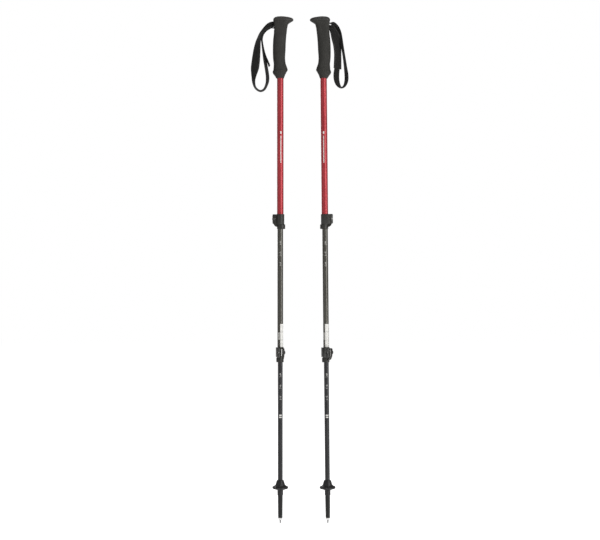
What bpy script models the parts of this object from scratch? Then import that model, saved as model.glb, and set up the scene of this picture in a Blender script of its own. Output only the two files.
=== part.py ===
"""A pair of three-section trekking poles with cam-lever clamps, modelled in metres with Z up.

The left pole stands upright on its flat carbide tip at the origin. The right pole stands beside it
and leans slightly towards it. Each pole is built in its own frame, whose Z axis is the shaft, and
each clamp in its own frame, whose X axis points from the shaft to the lever's pivot.
"""
import math

import bmesh
import bpy
from mathutils import Matrix, Vector

MM = 0.001

# Clearances
GAP = 0.3 * MM                  # between two pieces that touch, seat or run on each other
MERGE = 0.001 * MM              # vertices closer than this are one vertex
SIDES = 16                      # flats round every shaft and bore, so that their flats line up

# How the pair stands
RIGHT_TIP_X = 117.6 * MM        # from the left tip to the right tip
RIGHT_LEAN = math.radians(-0.56)

# Shafts, from the outer one inwards
UPPER_TUBE_D = 16.0 * MM
TUBE_WALL = 0.8 * MM
TUBE_CLEARANCE = 0.2 * MM       # between a shaft and the next one inside it
LOWER_TUBE_LENGTH = 445.0 * MM
MIDDLE_TUBE_LENGTH = 467.0 * MM
MIDDLE_TUBE_D = UPPER_TUBE_D - 2.0 * (TUBE_WALL + TUBE_CLEARANCE)
LOWER_TUBE_D = MIDDLE_TUBE_D - 2.0 * (TUBE_WALL + TUBE_CLEARANCE)

# How much of each shaft shows as the poles stand
LOWER_SHOWN = 291.5 * MM        # from the basket to the lower clamp
MIDDLE_SHOWN = 292.5 * MM       # from the lower clamp to the upper clamp
UPPER_SHOWN = 335.5 * MM        # from the upper clamp to the grip

# Tip
TIP_FACE_D = 2.8 * MM
TIP_SHOWN = 7.3 * MM
TIP_SHANK_D = 4.0 * MM
TIP_LENGTH = 33.0 * MM
SLEEVE_BOTTOM_D = 7.8 * MM
SLEEVE_TOP_D = 10.8 * MM
SLEEVE_HEIGHT = 5.6 * MM
SLEEVE_SPIGOT_D = 6.8 * MM
SLEEVE_SPIGOT_LENGTH = 13.4 * MM

# Ferrule
FERRULE_LENGTH = 91.0 * MM
FERRULE_BOTTOM_D = 11.2 * MM
FERRULE_TOP_D = LOWER_TUBE_D + 0.1 * MM
FERRULE_SPIGOT_LENGTH = 26.0 * MM

# Basket
BASKET_BOTTOM = 69.5 * MM
BASKET_NECK_WALL = 0.8 * MM
BASKET_NECK_HEIGHT = 11.0 * MM
BASKET_D = 39.6 * MM
BASKET_RIM_HEIGHT = 5.0 * MM
BASKET_RIM_CURVE = 1.0 * MM     # how far the rim's edges stand back from its widest line
BASKET_FLANGE_HEIGHT = 14.5 * MM
BASKET_HUB_HEIGHT = 10.5 * MM
BASKET_HUB_FLARE = 5.4 * MM     # how far the foot of the hub stands out from the neck
BASKET_HUB_LIP = 1.4 * MM       # how far the top of the hub stands out from the neck

# Bush on the hidden top end of the middle and the lower shaft
BUSH_HEAD = 8.0 * MM
BUSH_SPIGOT = 18.0 * MM
BUSH_BORE_D = 6.0 * MM

# Clamp: collar
COLLAR_WALL = 1.5 * MM
COLLAR_HEIGHT = 25.5 * MM
COLLAR_EDGE = 0.8 * MM
FOOT_HEIGHT = 11.0 * MM
FOOT_WALL = 2.9 * MM
FOOT_OFFSET = 2.0 * MM          # the foot ring stands back from the lever side
SHAFT_STOP = 2.7 * MM           # floor that the outer shaft seats on, above the foot
SLIT = 1.8 * MM
LEVER_ABOVE_FOOT = 2.0 * MM     # lowest edge of the lever and the pin above the foot
EAR_BELOW_TOP = 2.0 * MM        # highest edge of the ears below the collar's top
JOIN = 1.0 * MM                 # how far two shapes that become one run into each other
OVERCUT = 5.0 * MM              # how far a cutting shape passes the piece that it cuts
FRONT_EAR = 3.5 * MM            # thickness of the ear under the screw's head
BACK_EAR = 2.7 * MM             # thickness of the ear that the cam pushes
EAR_REACH = 3.6 * MM            # ear beyond the screw's axis, out and down
EAR_CORNER = 3.0 * MM

# Clamp: screw, cam plate, pin and lever
SCREW_D = 3.0 * MM
SCREW_HEAD_D = SCREW_D + 3.4 * MM
SCREW_HEAD_HEIGHT = 2.4 * MM
SCREW_SOCKET_D = SCREW_HEAD_D - 3.8 * MM
SCREW_SOCKET_DEPTH = 1.3 * MM
SCREW_PAST_PIN = 1.0 * MM       # how far the screw's end passes the pin's axis
PLATE_THICKNESS = 1.2 * MM
PLATE_WIDTH = SCREW_D + 6.0 * MM
PLATE_MARGIN = 3.0 * MM         # the plate is this much shorter than the lever at each end
BARREL_PIN_D = SCREW_D + 1.8 * MM
CAM_RADIUS = BARREL_PIN_D / 2.0 + 2.2 * MM
CAM_LIFT = 0.4 * MM             # how far the cam is off its pin's axis
PIVOT_OUT = CAM_RADIUS + 0.8 * MM           # pin's axis beyond the collar's wall
LEVER_THICKNESS = 2.0 * MM
LEVER_FORK = SCREW_D + 2.0 * MM  # gap in the lever that clears the screw
LEVER_END_ANGLE = math.radians(-138.0)      # free end of the blade, round the shaft from the pivot
BLADE_BACK_ANGLE = math.radians(-78.0)      # where the blade's outer face leaves its arc
BLADE_FRONT_ANGLE = math.radians(-50.0)     # where the blade's inner face leaves its arc
CAM_START_ANGLE = math.radians(-100.0)      # where the outer face meets the cam, round the pin
CAM_END_ANGLE = math.radians(120.0)         # where the cam meets the inner face
LEVER_OPENING = math.radians(120.0)
OUTER_ARC_STEPS = 8
INNER_ARC_STEPS = 10
CAM_STEPS = 14
SCREW_SIDES = 16

# Grip; front is the side of the horn
GRIP_LENGTH = 141.3 * MM
GRIP_RING = 24
GRIP_BORE = UPPER_TUBE_D / 2.0 + GAP
TUBE_BELOW_SEAM = 14.3 * MM
CAP_HEIGHT = 10.4 * MM
CAP_SPIGOT_LENGTH = 24.3 * MM

# Strap, its pin and its slot in the back of the grip
WEBBING_WIDTH = 15.0 * MM
WEBBING_THICKNESS = 1.6 * MM
BAND_WIDTH = 25.0 * MM
BAND_THICKNESS = 3.0 * MM
STRAP_PIN_BELOW_SEAM = 8.3 * MM
STRAP_PIN_D = 3.0 * MM
STRAP_PIN_PAST_STRAP = 3.3 * MM
STRAP_PIN_LENGTH = WEBBING_WIDTH + 2.0 * STRAP_PIN_PAST_STRAP
SLOT_WALL = 1.0 * MM            # grip left between its bore and the slot
SLOT_SIDE = 0.8 * MM            # room beside the webbing
SLOT_BELOW_PIN = 15.0 * MM
SLOT_FLOOR = GRIP_BORE + SLOT_WALL          # from the shaft's axis
EYE_RADIUS = STRAP_PIN_D / 2.0 + GAP + WEBBING_THICKNESS / 2.0
STRAP_PIN_OUT = SLOT_FLOOR + GAP + WEBBING_THICKNESS / 2.0 + EYE_RADIUS
WEDGE_THICKNESS = 2.0 * MM
WEDGE_ABOVE_STRAP = 0.5 * MM
EYE_STEPS = 6
RIBBON_STEPS = 2                # cross-sections from one strap point to the next

# Looks: colour, roughness and metallic value
CARBIDE = ((0.07, 0.07, 0.07), 0.4, 0.8)
BRIGHT_SLEEVE = ((0.7, 0.7, 0.69), 0.3, 1.0)
BRIGHT_STEEL = ((0.5, 0.5, 0.49), 0.3, 1.0)
PLATE_STEEL = ((0.45, 0.45, 0.44), 0.35, 1.0)
RED_TUBE = ((0.28, 0.02, 0.025), 0.3, 0.6)
GREY_TUBE = ((0.06, 0.058, 0.05), 0.35, 0.6)
BLACK_TUBE = ((0.03, 0.03, 0.03), 0.35, 0.4)
BUSH_PLASTIC = ((0.75, 0.75, 0.72), 0.5, 0.0)
FERRULE_PLASTIC = ((0.012, 0.012, 0.011), 0.35, 0.0)
BASKET_PLASTIC = ((0.022, 0.02, 0.022), 0.45, 0.0)
CLAMP_PLASTIC = ((0.04, 0.04, 0.035), 0.4, 0.0)
LEVER_PLASTIC = ((0.045, 0.045, 0.04), 0.35, 0.0)
GRIP_FOAM = ((0.045, 0.042, 0.038), 0.8, 0.0)
CAP_PLASTIC = ((0.05, 0.048, 0.045), 0.6, 0.0)
WEDGE_PLASTIC = ((0.03, 0.03, 0.03), 0.5, 0.0)
STRAP_FABRIC = ((0.01, 0.01, 0.009), 0.88, 0.0)

# Levels along a shaft, from the flat of its tip
SLEEVE_BOTTOM = TIP_SHOWN
FERRULE_BOTTOM = SLEEVE_BOTTOM + SLEEVE_HEIGHT + GAP
FERRULE_TOP = FERRULE_BOTTOM + FERRULE_LENGTH
LOWER_TUBE_BOTTOM = FERRULE_TOP + GAP
BASKET_TOP = BASKET_BOTTOM + BASKET_NECK_HEIGHT + BASKET_FLANGE_HEIGHT + BASKET_HUB_HEIGHT
CLAMP_HEIGHT = FOOT_HEIGHT + COLLAR_HEIGHT
LOWER_CLAMP = BASKET_TOP + LOWER_SHOWN
UPPER_CLAMP = LOWER_CLAMP + CLAMP_HEIGHT + MIDDLE_SHOWN
MIDDLE_TUBE_BOTTOM = LOWER_CLAMP + FOOT_HEIGHT + SHAFT_STOP + GAP
UPPER_TUBE_BOTTOM = UPPER_CLAMP + FOOT_HEIGHT + SHAFT_STOP + GAP
GRIP_BOTTOM = UPPER_CLAMP + CLAMP_HEIGHT + UPPER_SHOWN
SEAM = GRIP_BOTTOM + GRIP_LENGTH
STRAP_PIN_Z = SEAM - STRAP_PIN_BELOW_SEAM

# Grip sections from the bottom up: share of the grip's length, then in mm how far the front, the
# back and the sides stand out from the bore, then how square the section is and how much narrower
# it is towards the front.
GRIP_SECTIONS = (
    (0.000, 0.6, 1.7, 1.0, 2.0, 0.0),
    (0.040, 2.6, 5.0, 3.2, 2.1, 0.0),
    (0.076, 4.8, 9.0, 4.9, 2.2, 0.0),
    (0.111, 7.3, 10.6, 5.7, 2.2, 0.0),
    (0.146, 10.1, 9.0, 5.5, 2.2, 0.1),
    (0.182, 8.9, 8.5, 5.0, 2.2, 0.1),
    (0.251, 5.3, 8.0, 4.5, 2.2, 0.0),
    (0.321, 3.9, 9.2, 4.7, 2.2, 0.0),
    (0.495, 4.7, 10.1, 5.3, 2.2, 0.0),
    (0.670, 5.8, 9.3, 5.1, 2.4, 0.0),
    (0.800, 7.5, 7.5, 4.8, 3.2, 0.0),
    (0.915, 9.9, 7.9, 5.1, 4.0, 0.1),
    (0.955, 11.9, 8.4, 5.4, 4.0, 0.2),
    (0.980, 17.2, 8.8, 5.7, 4.0, 0.3),
    (1.000, 22.0, 9.0, 5.9, 4.0, 0.4),
)

# Cap sections: share of the cap's height, then as for the grip.
CAP_SECTIONS = (
    (0.00, 22.7, 9.0, 5.9, 4.0, 0.4),
    (0.30, 23.7, 9.0, 6.0, 3.6, 0.4),
    (0.72, 19.2, 6.3, 4.3, 3.0, 0.4),
    (1.00, 4.7, 0.7, -0.3, 2.4, 0.2),
)

# Strap points in mm and degrees: outwards from the pin, up from the pin, towards the near side,
# and the turn of the strap's width from the near side into the plane of the loop.
LEFT_BAND = (
    (15.0, 0.6, 0.0, 22.0),
    (20.5, -1.8, 0.0, 26.0),
    (27.3, -7.4, 0.0, 24.0),
    (34.7, -17.2, 0.0, 20.0),
    (37.9, -28.4, 0.0, 20.0),
    (42.3, -43.2, 0.0, 26.0),
    (45.0, -63.0, 0.0, 38.0),
    (47.5, -87.7, 0.0, 47.0),
    (49.7, -112.4, 0.0, 50.0),
)
LEFT_WEBBING = (
    (50.0, -115.4, 0.0, 50.0),
    (51.6, -132.0, 0.0, 40.0),
    (50.4, -147.0, 0.0, 22.0),
    (45.6, -157.4, 0.0, 14.0),
    (36.0, -163.2, 0.0, 10.0),
    (26.6, -159.3, 0.0, 14.0),
    (20.6, -147.0, 0.0, 22.0),
    (19.1, -134.6, 0.0, 30.0),
    (19.8, -122.0, 0.0, 31.0),
    (22.6, -102.4, 0.0, 30.0),
    (25.0, -87.7, 0.0, 28.0),
    (27.8, -68.0, 0.0, 24.0),
    (30.2, -48.2, 0.0, 16.0),
    (31.2, -33.4, 0.0, 10.0),
    (28.2, -21.0, 0.0, 8.0),
    (21.4, -13.0, 0.0, 5.0),
    (12.4, -6.8, 0.0, 0.0),
    (5.5, -3.6, 0.0, 0.0),
)
LEFT_WEBBING_END = (
    (5.0, 2.6, 0.0, 0.0),
    (9.0, 2.2, 0.0, 8.0),
    (14.0, 1.0, 0.0, 20.0),
)
LEFT_TAIL = (
    (-1.0, -9.6, 0.0, 0.0),
    (5.0, -10.6, 0.0, 0.0),
    (11.6, -13.6, 0.0, -4.0),
    (18.4, -18.6, 0.0, -7.0),
    (23.2, -27.6, 0.0, -10.0),
    (25.4, -41.2, 0.0, -14.0),
    (24.6, -58.0, 0.0, -20.0),
    (20.8, -77.8, 0.0, -25.0),
    (16.6, -91.2, 0.0, -27.0),
    (12.0, -105.7, 0.0, -27.0),
)
RIGHT_BAND = (
    (9.0, -4.6, 0.0, 20.0),
    (12.5, -8.5, 0.0, 36.0),
    (16.0, -16.0, 0.0, 54.0),
    (18.6, -26.0, 0.0, 62.0),
    (20.6, -38.0, 0.0, 58.0),
    (22.5, -51.0, 0.0, 48.0),
    (24.0, -71.0, 0.0, 42.0),
    (23.8, -88.0, 0.0, 44.0),
    (23.2, -106.0, 0.0, 48.0),
)
RIGHT_WEBBING = (
    (22.8, -109.2, 0.0, 50.0),
    (20.2, -124.0, 0.0, 62.0),
    (20.6, -137.0, 0.0, 60.0),
    (24.6, -147.0, 0.0, 44.0),
    (31.5, -154.6, 0.0, 20.0),
    (38.6, -149.0, 0.0, 24.0),
    (42.4, -137.0, 0.0, 34.0),
    (43.0, -125.0, 0.0, 34.0),
    (41.4, -108.0, 0.0, 26.0),
    (40.1, -88.0, 0.0, 18.0),
    (37.5, -68.0, 0.0, 14.0),
    (35.4, -51.0, 0.0, 10.0),
    (34.6, -36.0, 0.0, 6.0),
    (33.2, -20.0, 0.0, 4.0),
    (28.6, -7.4, 0.0, 2.0),
    (20.6, 1.0, 0.0, 0.0),
    (12.0, 3.9, 0.0, 0.0),
    (5.5, 3.1, 0.0, 0.0),
)
RIGHT_WEBBING_END = (
    (5.0, -3.2, 0.0, 0.0),
    (8.0, -4.2, 0.0, 12.0),
)
RIGHT_TAIL = (
    (-1.0, -11.6, 0.0, 0.0),
    (4.2, -13.2, -0.6, 6.0),
    (8.2, -18.4, -4.0, 28.0),
    (12.8, -28.0, -8.8, 46.0),
    (16.8, -42.0, -11.0, 52.0),
    (20.2, -60.0, -11.6, 46.0),
    (21.6, -80.0, -11.6, 42.0),
    (21.4, -100.0, -11.2, 42.0),
)


def clear_scene():
    """Remove every object that the scene holds."""
    for item in list(bpy.data.objects):
        bpy.data.objects.remove(item, do_unlink=True)


def finish(name, colour, roughness, metallic):
    """Make a plain material."""
    material = bpy.data.materials.new(name)
    material.use_nodes = True
    shader = material.node_tree.nodes["Principled BSDF"]
    shader.inputs["Base Color"].default_value = (*colour, 1.0)
    shader.inputs["Roughness"].default_value = roughness
    shader.inputs["Metallic"].default_value = metallic
    return material


def guide(name, parent=None, location=(0.0, 0.0, 0.0), rotation=(0.0, 0.0, 0.0)):
    """Add an empty that carries other objects."""
    empty = bpy.data.objects.new(name, None)
    bpy.context.collection.objects.link(empty)
    empty.parent = parent
    empty.location = location
    empty.rotation_euler = rotation
    return empty


def add_piece(name, shape, parent, location=(0.0, 0.0, 0.0), rotation=(0.0, 0.0, 0.0)):
    """Turn a bmesh into an object whose faces all point outwards."""
    bmesh.ops.remove_doubles(shape, verts=shape.verts, dist=MERGE)
    bmesh.ops.recalc_face_normals(shape, faces=shape.faces)
    mesh = bpy.data.meshes.new(name)
    shape.to_mesh(mesh)
    shape.free()
    mesh.shade_smooth()
    mesh.set_sharp_from_angle(angle=math.radians(35.0))
    item = bpy.data.objects.new(name, mesh)
    bpy.context.collection.objects.link(item)
    item.parent = parent
    item.location = location
    item.rotation_euler = rotation
    return item


def dress(item, look):
    """Give an object a material of its own, from a colour, a roughness and a metallic value."""
    item.data.materials.append(finish(item.name, *look))
    return item


def turned(outline, sides=SIDES):
    """Turn an outline of (radius, height) points round Z.

    An outline that starts and ends on the axis is open there, and any other outline is a loop.
    """
    shape = bmesh.new()
    verts = [shape.verts.new((radius, 0.0, height)) for radius, height in outline]
    pairs = list(zip(verts, verts[1:]))
    if outline[0][0] > 0.0:
        pairs.append((verts[-1], verts[0]))
    edges = [shape.edges.new(pair) for pair in pairs]
    bmesh.ops.spin(shape, geom=verts + edges, cent=(0.0, 0.0, 0.0), axis=(0.0, 0.0, 1.0),
                   angle=2.0 * math.pi, steps=sides, use_merge=True)
    return shape


def extruded(outline, start, end):
    """Raise a flat outline of (x, y) points from one height to another."""
    shape = bmesh.new()
    floor = shape.faces.new([shape.verts.new((x, y, start)) for x, y in outline])
    raised = bmesh.ops.extrude_face_region(shape, geom=[floor])
    moved = [element for element in raised["geom"] if isinstance(element, bmesh.types.BMVert)]
    bmesh.ops.translate(shape, verts=moved, vec=(0.0, 0.0, end - start))
    return shape


def block(low, high):
    """Make a box between two corners."""
    shape = bmesh.new()
    middle = (Vector(low) + Vector(high)) / 2.0
    size = Vector(high) - Vector(low)
    placed = Matrix.Translation(middle) @ Matrix.Diagonal((*size, 1.0))
    bmesh.ops.create_cube(shape, size=1.0, matrix=placed)
    return shape


def lofted(rings):
    """Join rings of points, each with the same count, and close the first and the last ring."""
    shape = bmesh.new()
    loops = [[shape.verts.new(point) for point in ring] for ring in rings]
    for lower, upper in zip(loops, loops[1:]):
        count = len(lower)
        for index in range(count):
            after = (index + 1) % count
            shape.faces.new((lower[index], lower[after], upper[after], upper[index]))
    shape.faces.new(loops[0])
    shape.faces.new(loops[-1])
    return shape


def arc(radius, start, end, steps, centre=(0.0, 0.0)):
    """List the points of an arc, both ends included."""
    angles = [start + (end - start) * step / steps for step in range(steps + 1)]
    return [(centre[0] + radius * math.cos(a), centre[1] + radius * math.sin(a)) for a in angles]


def cylinder_outline(radius, bottom, top):
    """Outline of a plain round bar on its axis."""
    return [(0.0, bottom), (radius, bottom), (radius, top), (0.0, top)]


def shape_with(target, other, operation):
    """Cut a shape out of an object, or join it on, and hide the shape."""
    other.display_type = "WIRE"
    other.hide_render = True
    change = target.modifiers.new(other.name, "BOOLEAN")
    change.operation = operation
    change.solver = "EXACT"
    change.object = other


def build_tube(name, parent, diameter, bottom, top, look):
    """Build one shaft."""
    outer = diameter / 2.0
    inner = outer - TUBE_WALL
    outline = [(inner, bottom), (outer, bottom), (outer, top), (inner, top)]
    return dress(add_piece(name, turned(outline), parent), look)


def build_bush(name, parent, diameter, tube_top):
    """Build the bush on the hidden end of a shaft."""
    outer = diameter / 2.0
    spigot = outer - TUBE_WALL - GAP
    bore = BUSH_BORE_D / 2.0
    seat = tube_top + GAP
    outline = [(bore, tube_top - BUSH_SPIGOT), (spigot, tube_top - BUSH_SPIGOT), (spigot, seat),
               (outer, seat), (outer, seat + BUSH_HEAD), (bore, seat + BUSH_HEAD)]
    return dress(add_piece(name, turned(outline), parent), BUSH_PLASTIC)


def build_tip(side, parent):
    """Build the carbide tip and the bright sleeve that holds it."""
    shank = TIP_SHANK_D / 2.0
    tip = [(0.0, 0.0), (TIP_FACE_D / 2.0, 0.0), (shank, TIP_SHOWN - GAP), (shank, TIP_LENGTH),
           (0.0, TIP_LENGTH)]
    dress(add_piece(f"{side}_carbide_tip", turned(tip), parent), CARBIDE)
    bore = shank + GAP
    top = SLEEVE_BOTTOM + SLEEVE_HEIGHT
    sleeve = [(bore, SLEEVE_BOTTOM), (SLEEVE_BOTTOM_D / 2.0, SLEEVE_BOTTOM),
              (SLEEVE_TOP_D / 2.0, top), (SLEEVE_SPIGOT_D / 2.0, top),
              (SLEEVE_SPIGOT_D / 2.0, top + SLEEVE_SPIGOT_LENGTH),
              (bore, top + SLEEVE_SPIGOT_LENGTH)]
    dress(add_piece(f"{side}_tip_sleeve", turned(sleeve), parent), BRIGHT_SLEEVE)


def build_ferrule(side, parent):
    """Build the plastic ferrule between the sleeve and the lower shaft."""
    spigot = LOWER_TUBE_D / 2.0 - TUBE_WALL - GAP
    socket = SLEEVE_SPIGOT_D / 2.0 + GAP
    socket_top = SLEEVE_BOTTOM + SLEEVE_HEIGHT + SLEEVE_SPIGOT_LENGTH + GAP
    shank = TIP_SHANK_D / 2.0 + GAP
    outline = [(0.0, FERRULE_TOP + FERRULE_SPIGOT_LENGTH),
               (spigot, FERRULE_TOP + FERRULE_SPIGOT_LENGTH), (spigot, FERRULE_TOP),
               (FERRULE_TOP_D / 2.0, FERRULE_TOP), (FERRULE_TOP_D / 2.0, BASKET_BOTTOM),
               (FERRULE_BOTTOM_D / 2.0, FERRULE_BOTTOM), (socket, FERRULE_BOTTOM),
               (socket, socket_top), (shank, socket_top), (shank, TIP_LENGTH + GAP),
               (0.0, TIP_LENGTH + GAP)]
    dress(add_piece(f"{side}_ferrule", turned(outline), parent), FERRULE_PLASTIC)


def build_basket(side, parent):
    """Build the small trail basket that is pushed onto the ferrule."""
    bore = FERRULE_TOP_D / 2.0 + GAP
    neck = bore + BASKET_NECK_WALL
    flange = BASKET_BOTTOM + BASKET_NECK_HEIGHT
    hub = flange + BASKET_FLANGE_HEIGHT
    rim_middle = flange + BASKET_FLANGE_HEIGHT / 2.0
    rim = BASKET_D / 2.0
    rim_edge = rim - BASKET_RIM_CURVE
    outline = [(bore, BASKET_BOTTOM), (neck, BASKET_BOTTOM), (neck, flange),
               (rim_edge, rim_middle - BASKET_RIM_HEIGHT / 2.0), (rim, rim_middle),
               (rim_edge, rim_middle + BASKET_RIM_HEIGHT / 2.0),
               (neck + BASKET_HUB_FLARE, hub), (neck + BASKET_HUB_LIP, BASKET_TOP),
               (bore, BASKET_TOP)]
    dress(add_piece(f"{side}_basket", turned(outline), parent), BASKET_PLASTIC)


def build_collar(name, frame, bore, seat, wall, pivot, ears, middle):
    """Build a clamp's collar: a slit ring with two ears, on a foot ring."""
    top = CLAMP_HEIGHT
    body = [(0.0, FOOT_HEIGHT - JOIN), (wall - COLLAR_EDGE, FOOT_HEIGHT - JOIN),
            (wall, FOOT_HEIGHT), (wall, top - COLLAR_EDGE), (wall - COLLAR_EDGE, top), (0.0, top)]
    collar = dress(add_piece(name, turned(body), frame), CLAMP_PLASTIC)
    foot_radius = bore + FOOT_WALL
    foot = add_piece(f"{name}_foot_shape",
                     turned(cylinder_outline(foot_radius, 0.0, FOOT_HEIGHT + JOIN)),
                     frame, location=(-FOOT_OFFSET, 0.0, 0.0))
    shape_with(collar, foot, "UNION")
    reach = pivot + EAR_REACH
    low = FOOT_HEIGHT + SHAFT_STOP
    high = top - EAR_BELOW_TOP
    side_view = [(0.0, low), (wall, low), (reach - EAR_CORNER, middle - EAR_REACH),
                 (reach, middle), (reach, high - EAR_CORNER), (reach - EAR_CORNER, high),
                 (0.0, high)]
    ear_shape = extruded(side_view, ears[0], ears[1])
    upright = Matrix.Rotation(math.radians(90.0), 3, "X")
    bmesh.ops.rotate(ear_shape, verts=ear_shape.verts, cent=(0.0, 0.0, 0.0), matrix=upright)
    shape_with(collar, add_piece(f"{name}_ear_shape", ear_shape, frame), "UNION")
    bore_outline = [(0.0, -OVERCUT), (bore, -OVERCUT), (bore, low), (seat, low),
                    (seat, top + OVERCUT), (0.0, top + OVERCUT)]
    shape_with(collar, add_piece(f"{name}_bore_shape", turned(bore_outline), frame), "DIFFERENCE")
    slit = block((0.0, -SLIT / 2.0, FOOT_HEIGHT + JOIN),
                 (reach + OVERCUT, SLIT / 2.0, top + OVERCUT))
    shape_with(collar, add_piece(f"{name}_slit_shape", slit, frame), "DIFFERENCE")
    hole = turned(cylinder_outline(SCREW_D / 2.0 + GAP, -pivot, pivot), SCREW_SIDES)
    shape_with(collar, add_piece(f"{name}_hole_shape", hole, frame, location=(pivot, 0.0, middle),
                                 rotation=(math.radians(90.0), 0.0, 0.0)), "DIFFERENCE")


def build_lever(name, frame, wall, pivot, cam_axis, middle):
    """Build a clamp's cam lever, with its origin on its pin's axis."""
    low = FOOT_HEIGHT + LEVER_ABOVE_FOOT
    inner = wall + GAP
    outer = inner + LEVER_THICKNESS
    centre = (pivot, cam_axis)
    cam_centre = (pivot, cam_axis + CAM_LIFT)
    outline = arc(outer, LEVER_END_ANGLE, BLADE_BACK_ANGLE, OUTER_ARC_STEPS)
    outline += arc(CAM_RADIUS - CAM_LIFT, CAM_START_ANGLE, CAM_END_ANGLE, CAM_STEPS, cam_centre)
    outline += arc(inner, BLADE_FRONT_ANGLE, LEVER_END_ANGLE, INNER_ARC_STEPS)
    local = [(x - centre[0], y - centre[1]) for x, y in outline]
    lever = add_piece(name, extruded(local, low, CLAMP_HEIGHT), frame, location=(*centre, 0.0))
    dress(lever, LEVER_PLASTIC)
    reach = 2.0 * CAM_RADIUS
    fork = block((-BARREL_PIN_D / 2.0, -2.0 * reach, middle - LEVER_FORK / 2.0),
                 (reach, 2.0 * reach, middle + LEVER_FORK / 2.0))
    fork_turn = math.radians(90.0) - LEVER_OPENING / 2.0
    shape_with(lever, add_piece(f"{name}_fork_shape", fork, frame, location=(*centre, 0.0),
                                rotation=(0.0, 0.0, fork_turn)), "DIFFERENCE")
    bore = turned(cylinder_outline(BARREL_PIN_D / 2.0 + GAP, 0.0, 2.0 * CLAMP_HEIGHT))
    shape_with(lever, add_piece(f"{name}_pin_shape", bore, frame, location=(*centre, 0.0)),
               "DIFFERENCE")


def build_clamp(prefix, pole, bottom, turn, outer_d, inner_d):
    """Build one clamp: collar, lever, pin, screw and cam plate."""
    frame = guide(f"{prefix}_clamp_frame", pole, (0.0, 0.0, bottom), (0.0, 0.0, turn))
    wall = outer_d / 2.0 + GAP + COLLAR_WALL
    pivot = wall + PIVOT_OUT
    low = FOOT_HEIGHT + LEVER_ABOVE_FOOT
    middle = (low + CLAMP_HEIGHT) / 2.0
    back_ear = -SLIT / 2.0 - BACK_EAR
    front_ear = SLIT / 2.0 + FRONT_EAR
    plate_front = back_ear - GAP
    plate_back = plate_front - PLATE_THICKNESS
    cam_axis = plate_back - GAP - CAM_RADIUS
    build_collar(f"{prefix}_collar", frame, inner_d / 2.0 + GAP, outer_d / 2.0 + GAP, wall, pivot,
                 (-front_ear, -back_ear), middle)
    build_lever(f"{prefix}_lever", frame, wall, pivot, cam_axis, middle)

    plate = add_piece(f"{prefix}_cam_plate",
                      block((-PLATE_WIDTH / 2.0, plate_back, low + PLATE_MARGIN),
                            (PLATE_WIDTH / 2.0, plate_front, CLAMP_HEIGHT - PLATE_MARGIN)),
                      frame, location=(pivot, 0.0, 0.0))
    dress(plate, PLATE_STEEL)
    across = turned(cylinder_outline(SCREW_D / 2.0 + GAP, -pivot, pivot), SCREW_SIDES)
    upright = Matrix.Rotation(math.radians(90.0), 3, "X")
    bmesh.ops.rotate(across, verts=across.verts, cent=(0.0, 0.0, 0.0), matrix=upright)
    hole = add_piece(f"{prefix}_cross_hole_shape", across, frame, location=(pivot, 0.0, middle))
    shape_with(plate, hole, "DIFFERENCE")

    pin = add_piece(f"{prefix}_barrel_pin",
                    turned(cylinder_outline(BARREL_PIN_D / 2.0, low, CLAMP_HEIGHT)), frame,
                    location=(pivot, cam_axis, 0.0))
    dress(pin, BRIGHT_STEEL)
    shape_with(pin, hole, "DIFFERENCE")

    head = front_ear + GAP
    radius = SCREW_D / 2.0
    top = head + SCREW_HEAD_HEIGHT
    socket = SCREW_SOCKET_D / 2.0
    screw = [(0.0, cam_axis - SCREW_PAST_PIN), (radius, cam_axis - SCREW_PAST_PIN),
             (radius, head), (SCREW_HEAD_D / 2.0, head), (SCREW_HEAD_D / 2.0, top), (socket, top),
             (socket, top - SCREW_SOCKET_DEPTH), (0.0, top - SCREW_SOCKET_DEPTH)]
    dress(add_piece(f"{prefix}_tension_screw", turned(screw, SCREW_SIDES), frame,
                    location=(pivot, 0.0, middle), rotation=(math.radians(-90.0), 0.0, 0.0)),
          BRIGHT_STEEL)


def section_ring(height, front, back, side, square, narrow):
    """Work out one ring of the grip: a rounded outline that may narrow towards the front."""
    centre = (front - back) * MM / 2.0
    half_length = GRIP_BORE + (front + back) * MM / 2.0
    half_width = GRIP_BORE + side * MM
    power = 2.0 / square
    ring = []
    for index in range(GRIP_RING):
        angle = 2.0 * math.pi * index / GRIP_RING
        along = math.copysign(abs(math.cos(angle)) ** power, math.cos(angle))
        across = math.copysign(abs(math.sin(angle)) ** power, math.sin(angle))
        width = half_width * (1.0 - narrow * max(along, 0.0) ** 2)
        ring.append((centre + half_length * along, width * across, height))
    return ring


def round_ring(radius, height):
    """Work out a round ring with as many points as a grip section."""
    angles = [2.0 * math.pi * index / GRIP_RING for index in range(GRIP_RING)]
    return [(radius * math.cos(a), radius * math.sin(a), height) for a in angles]


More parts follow.
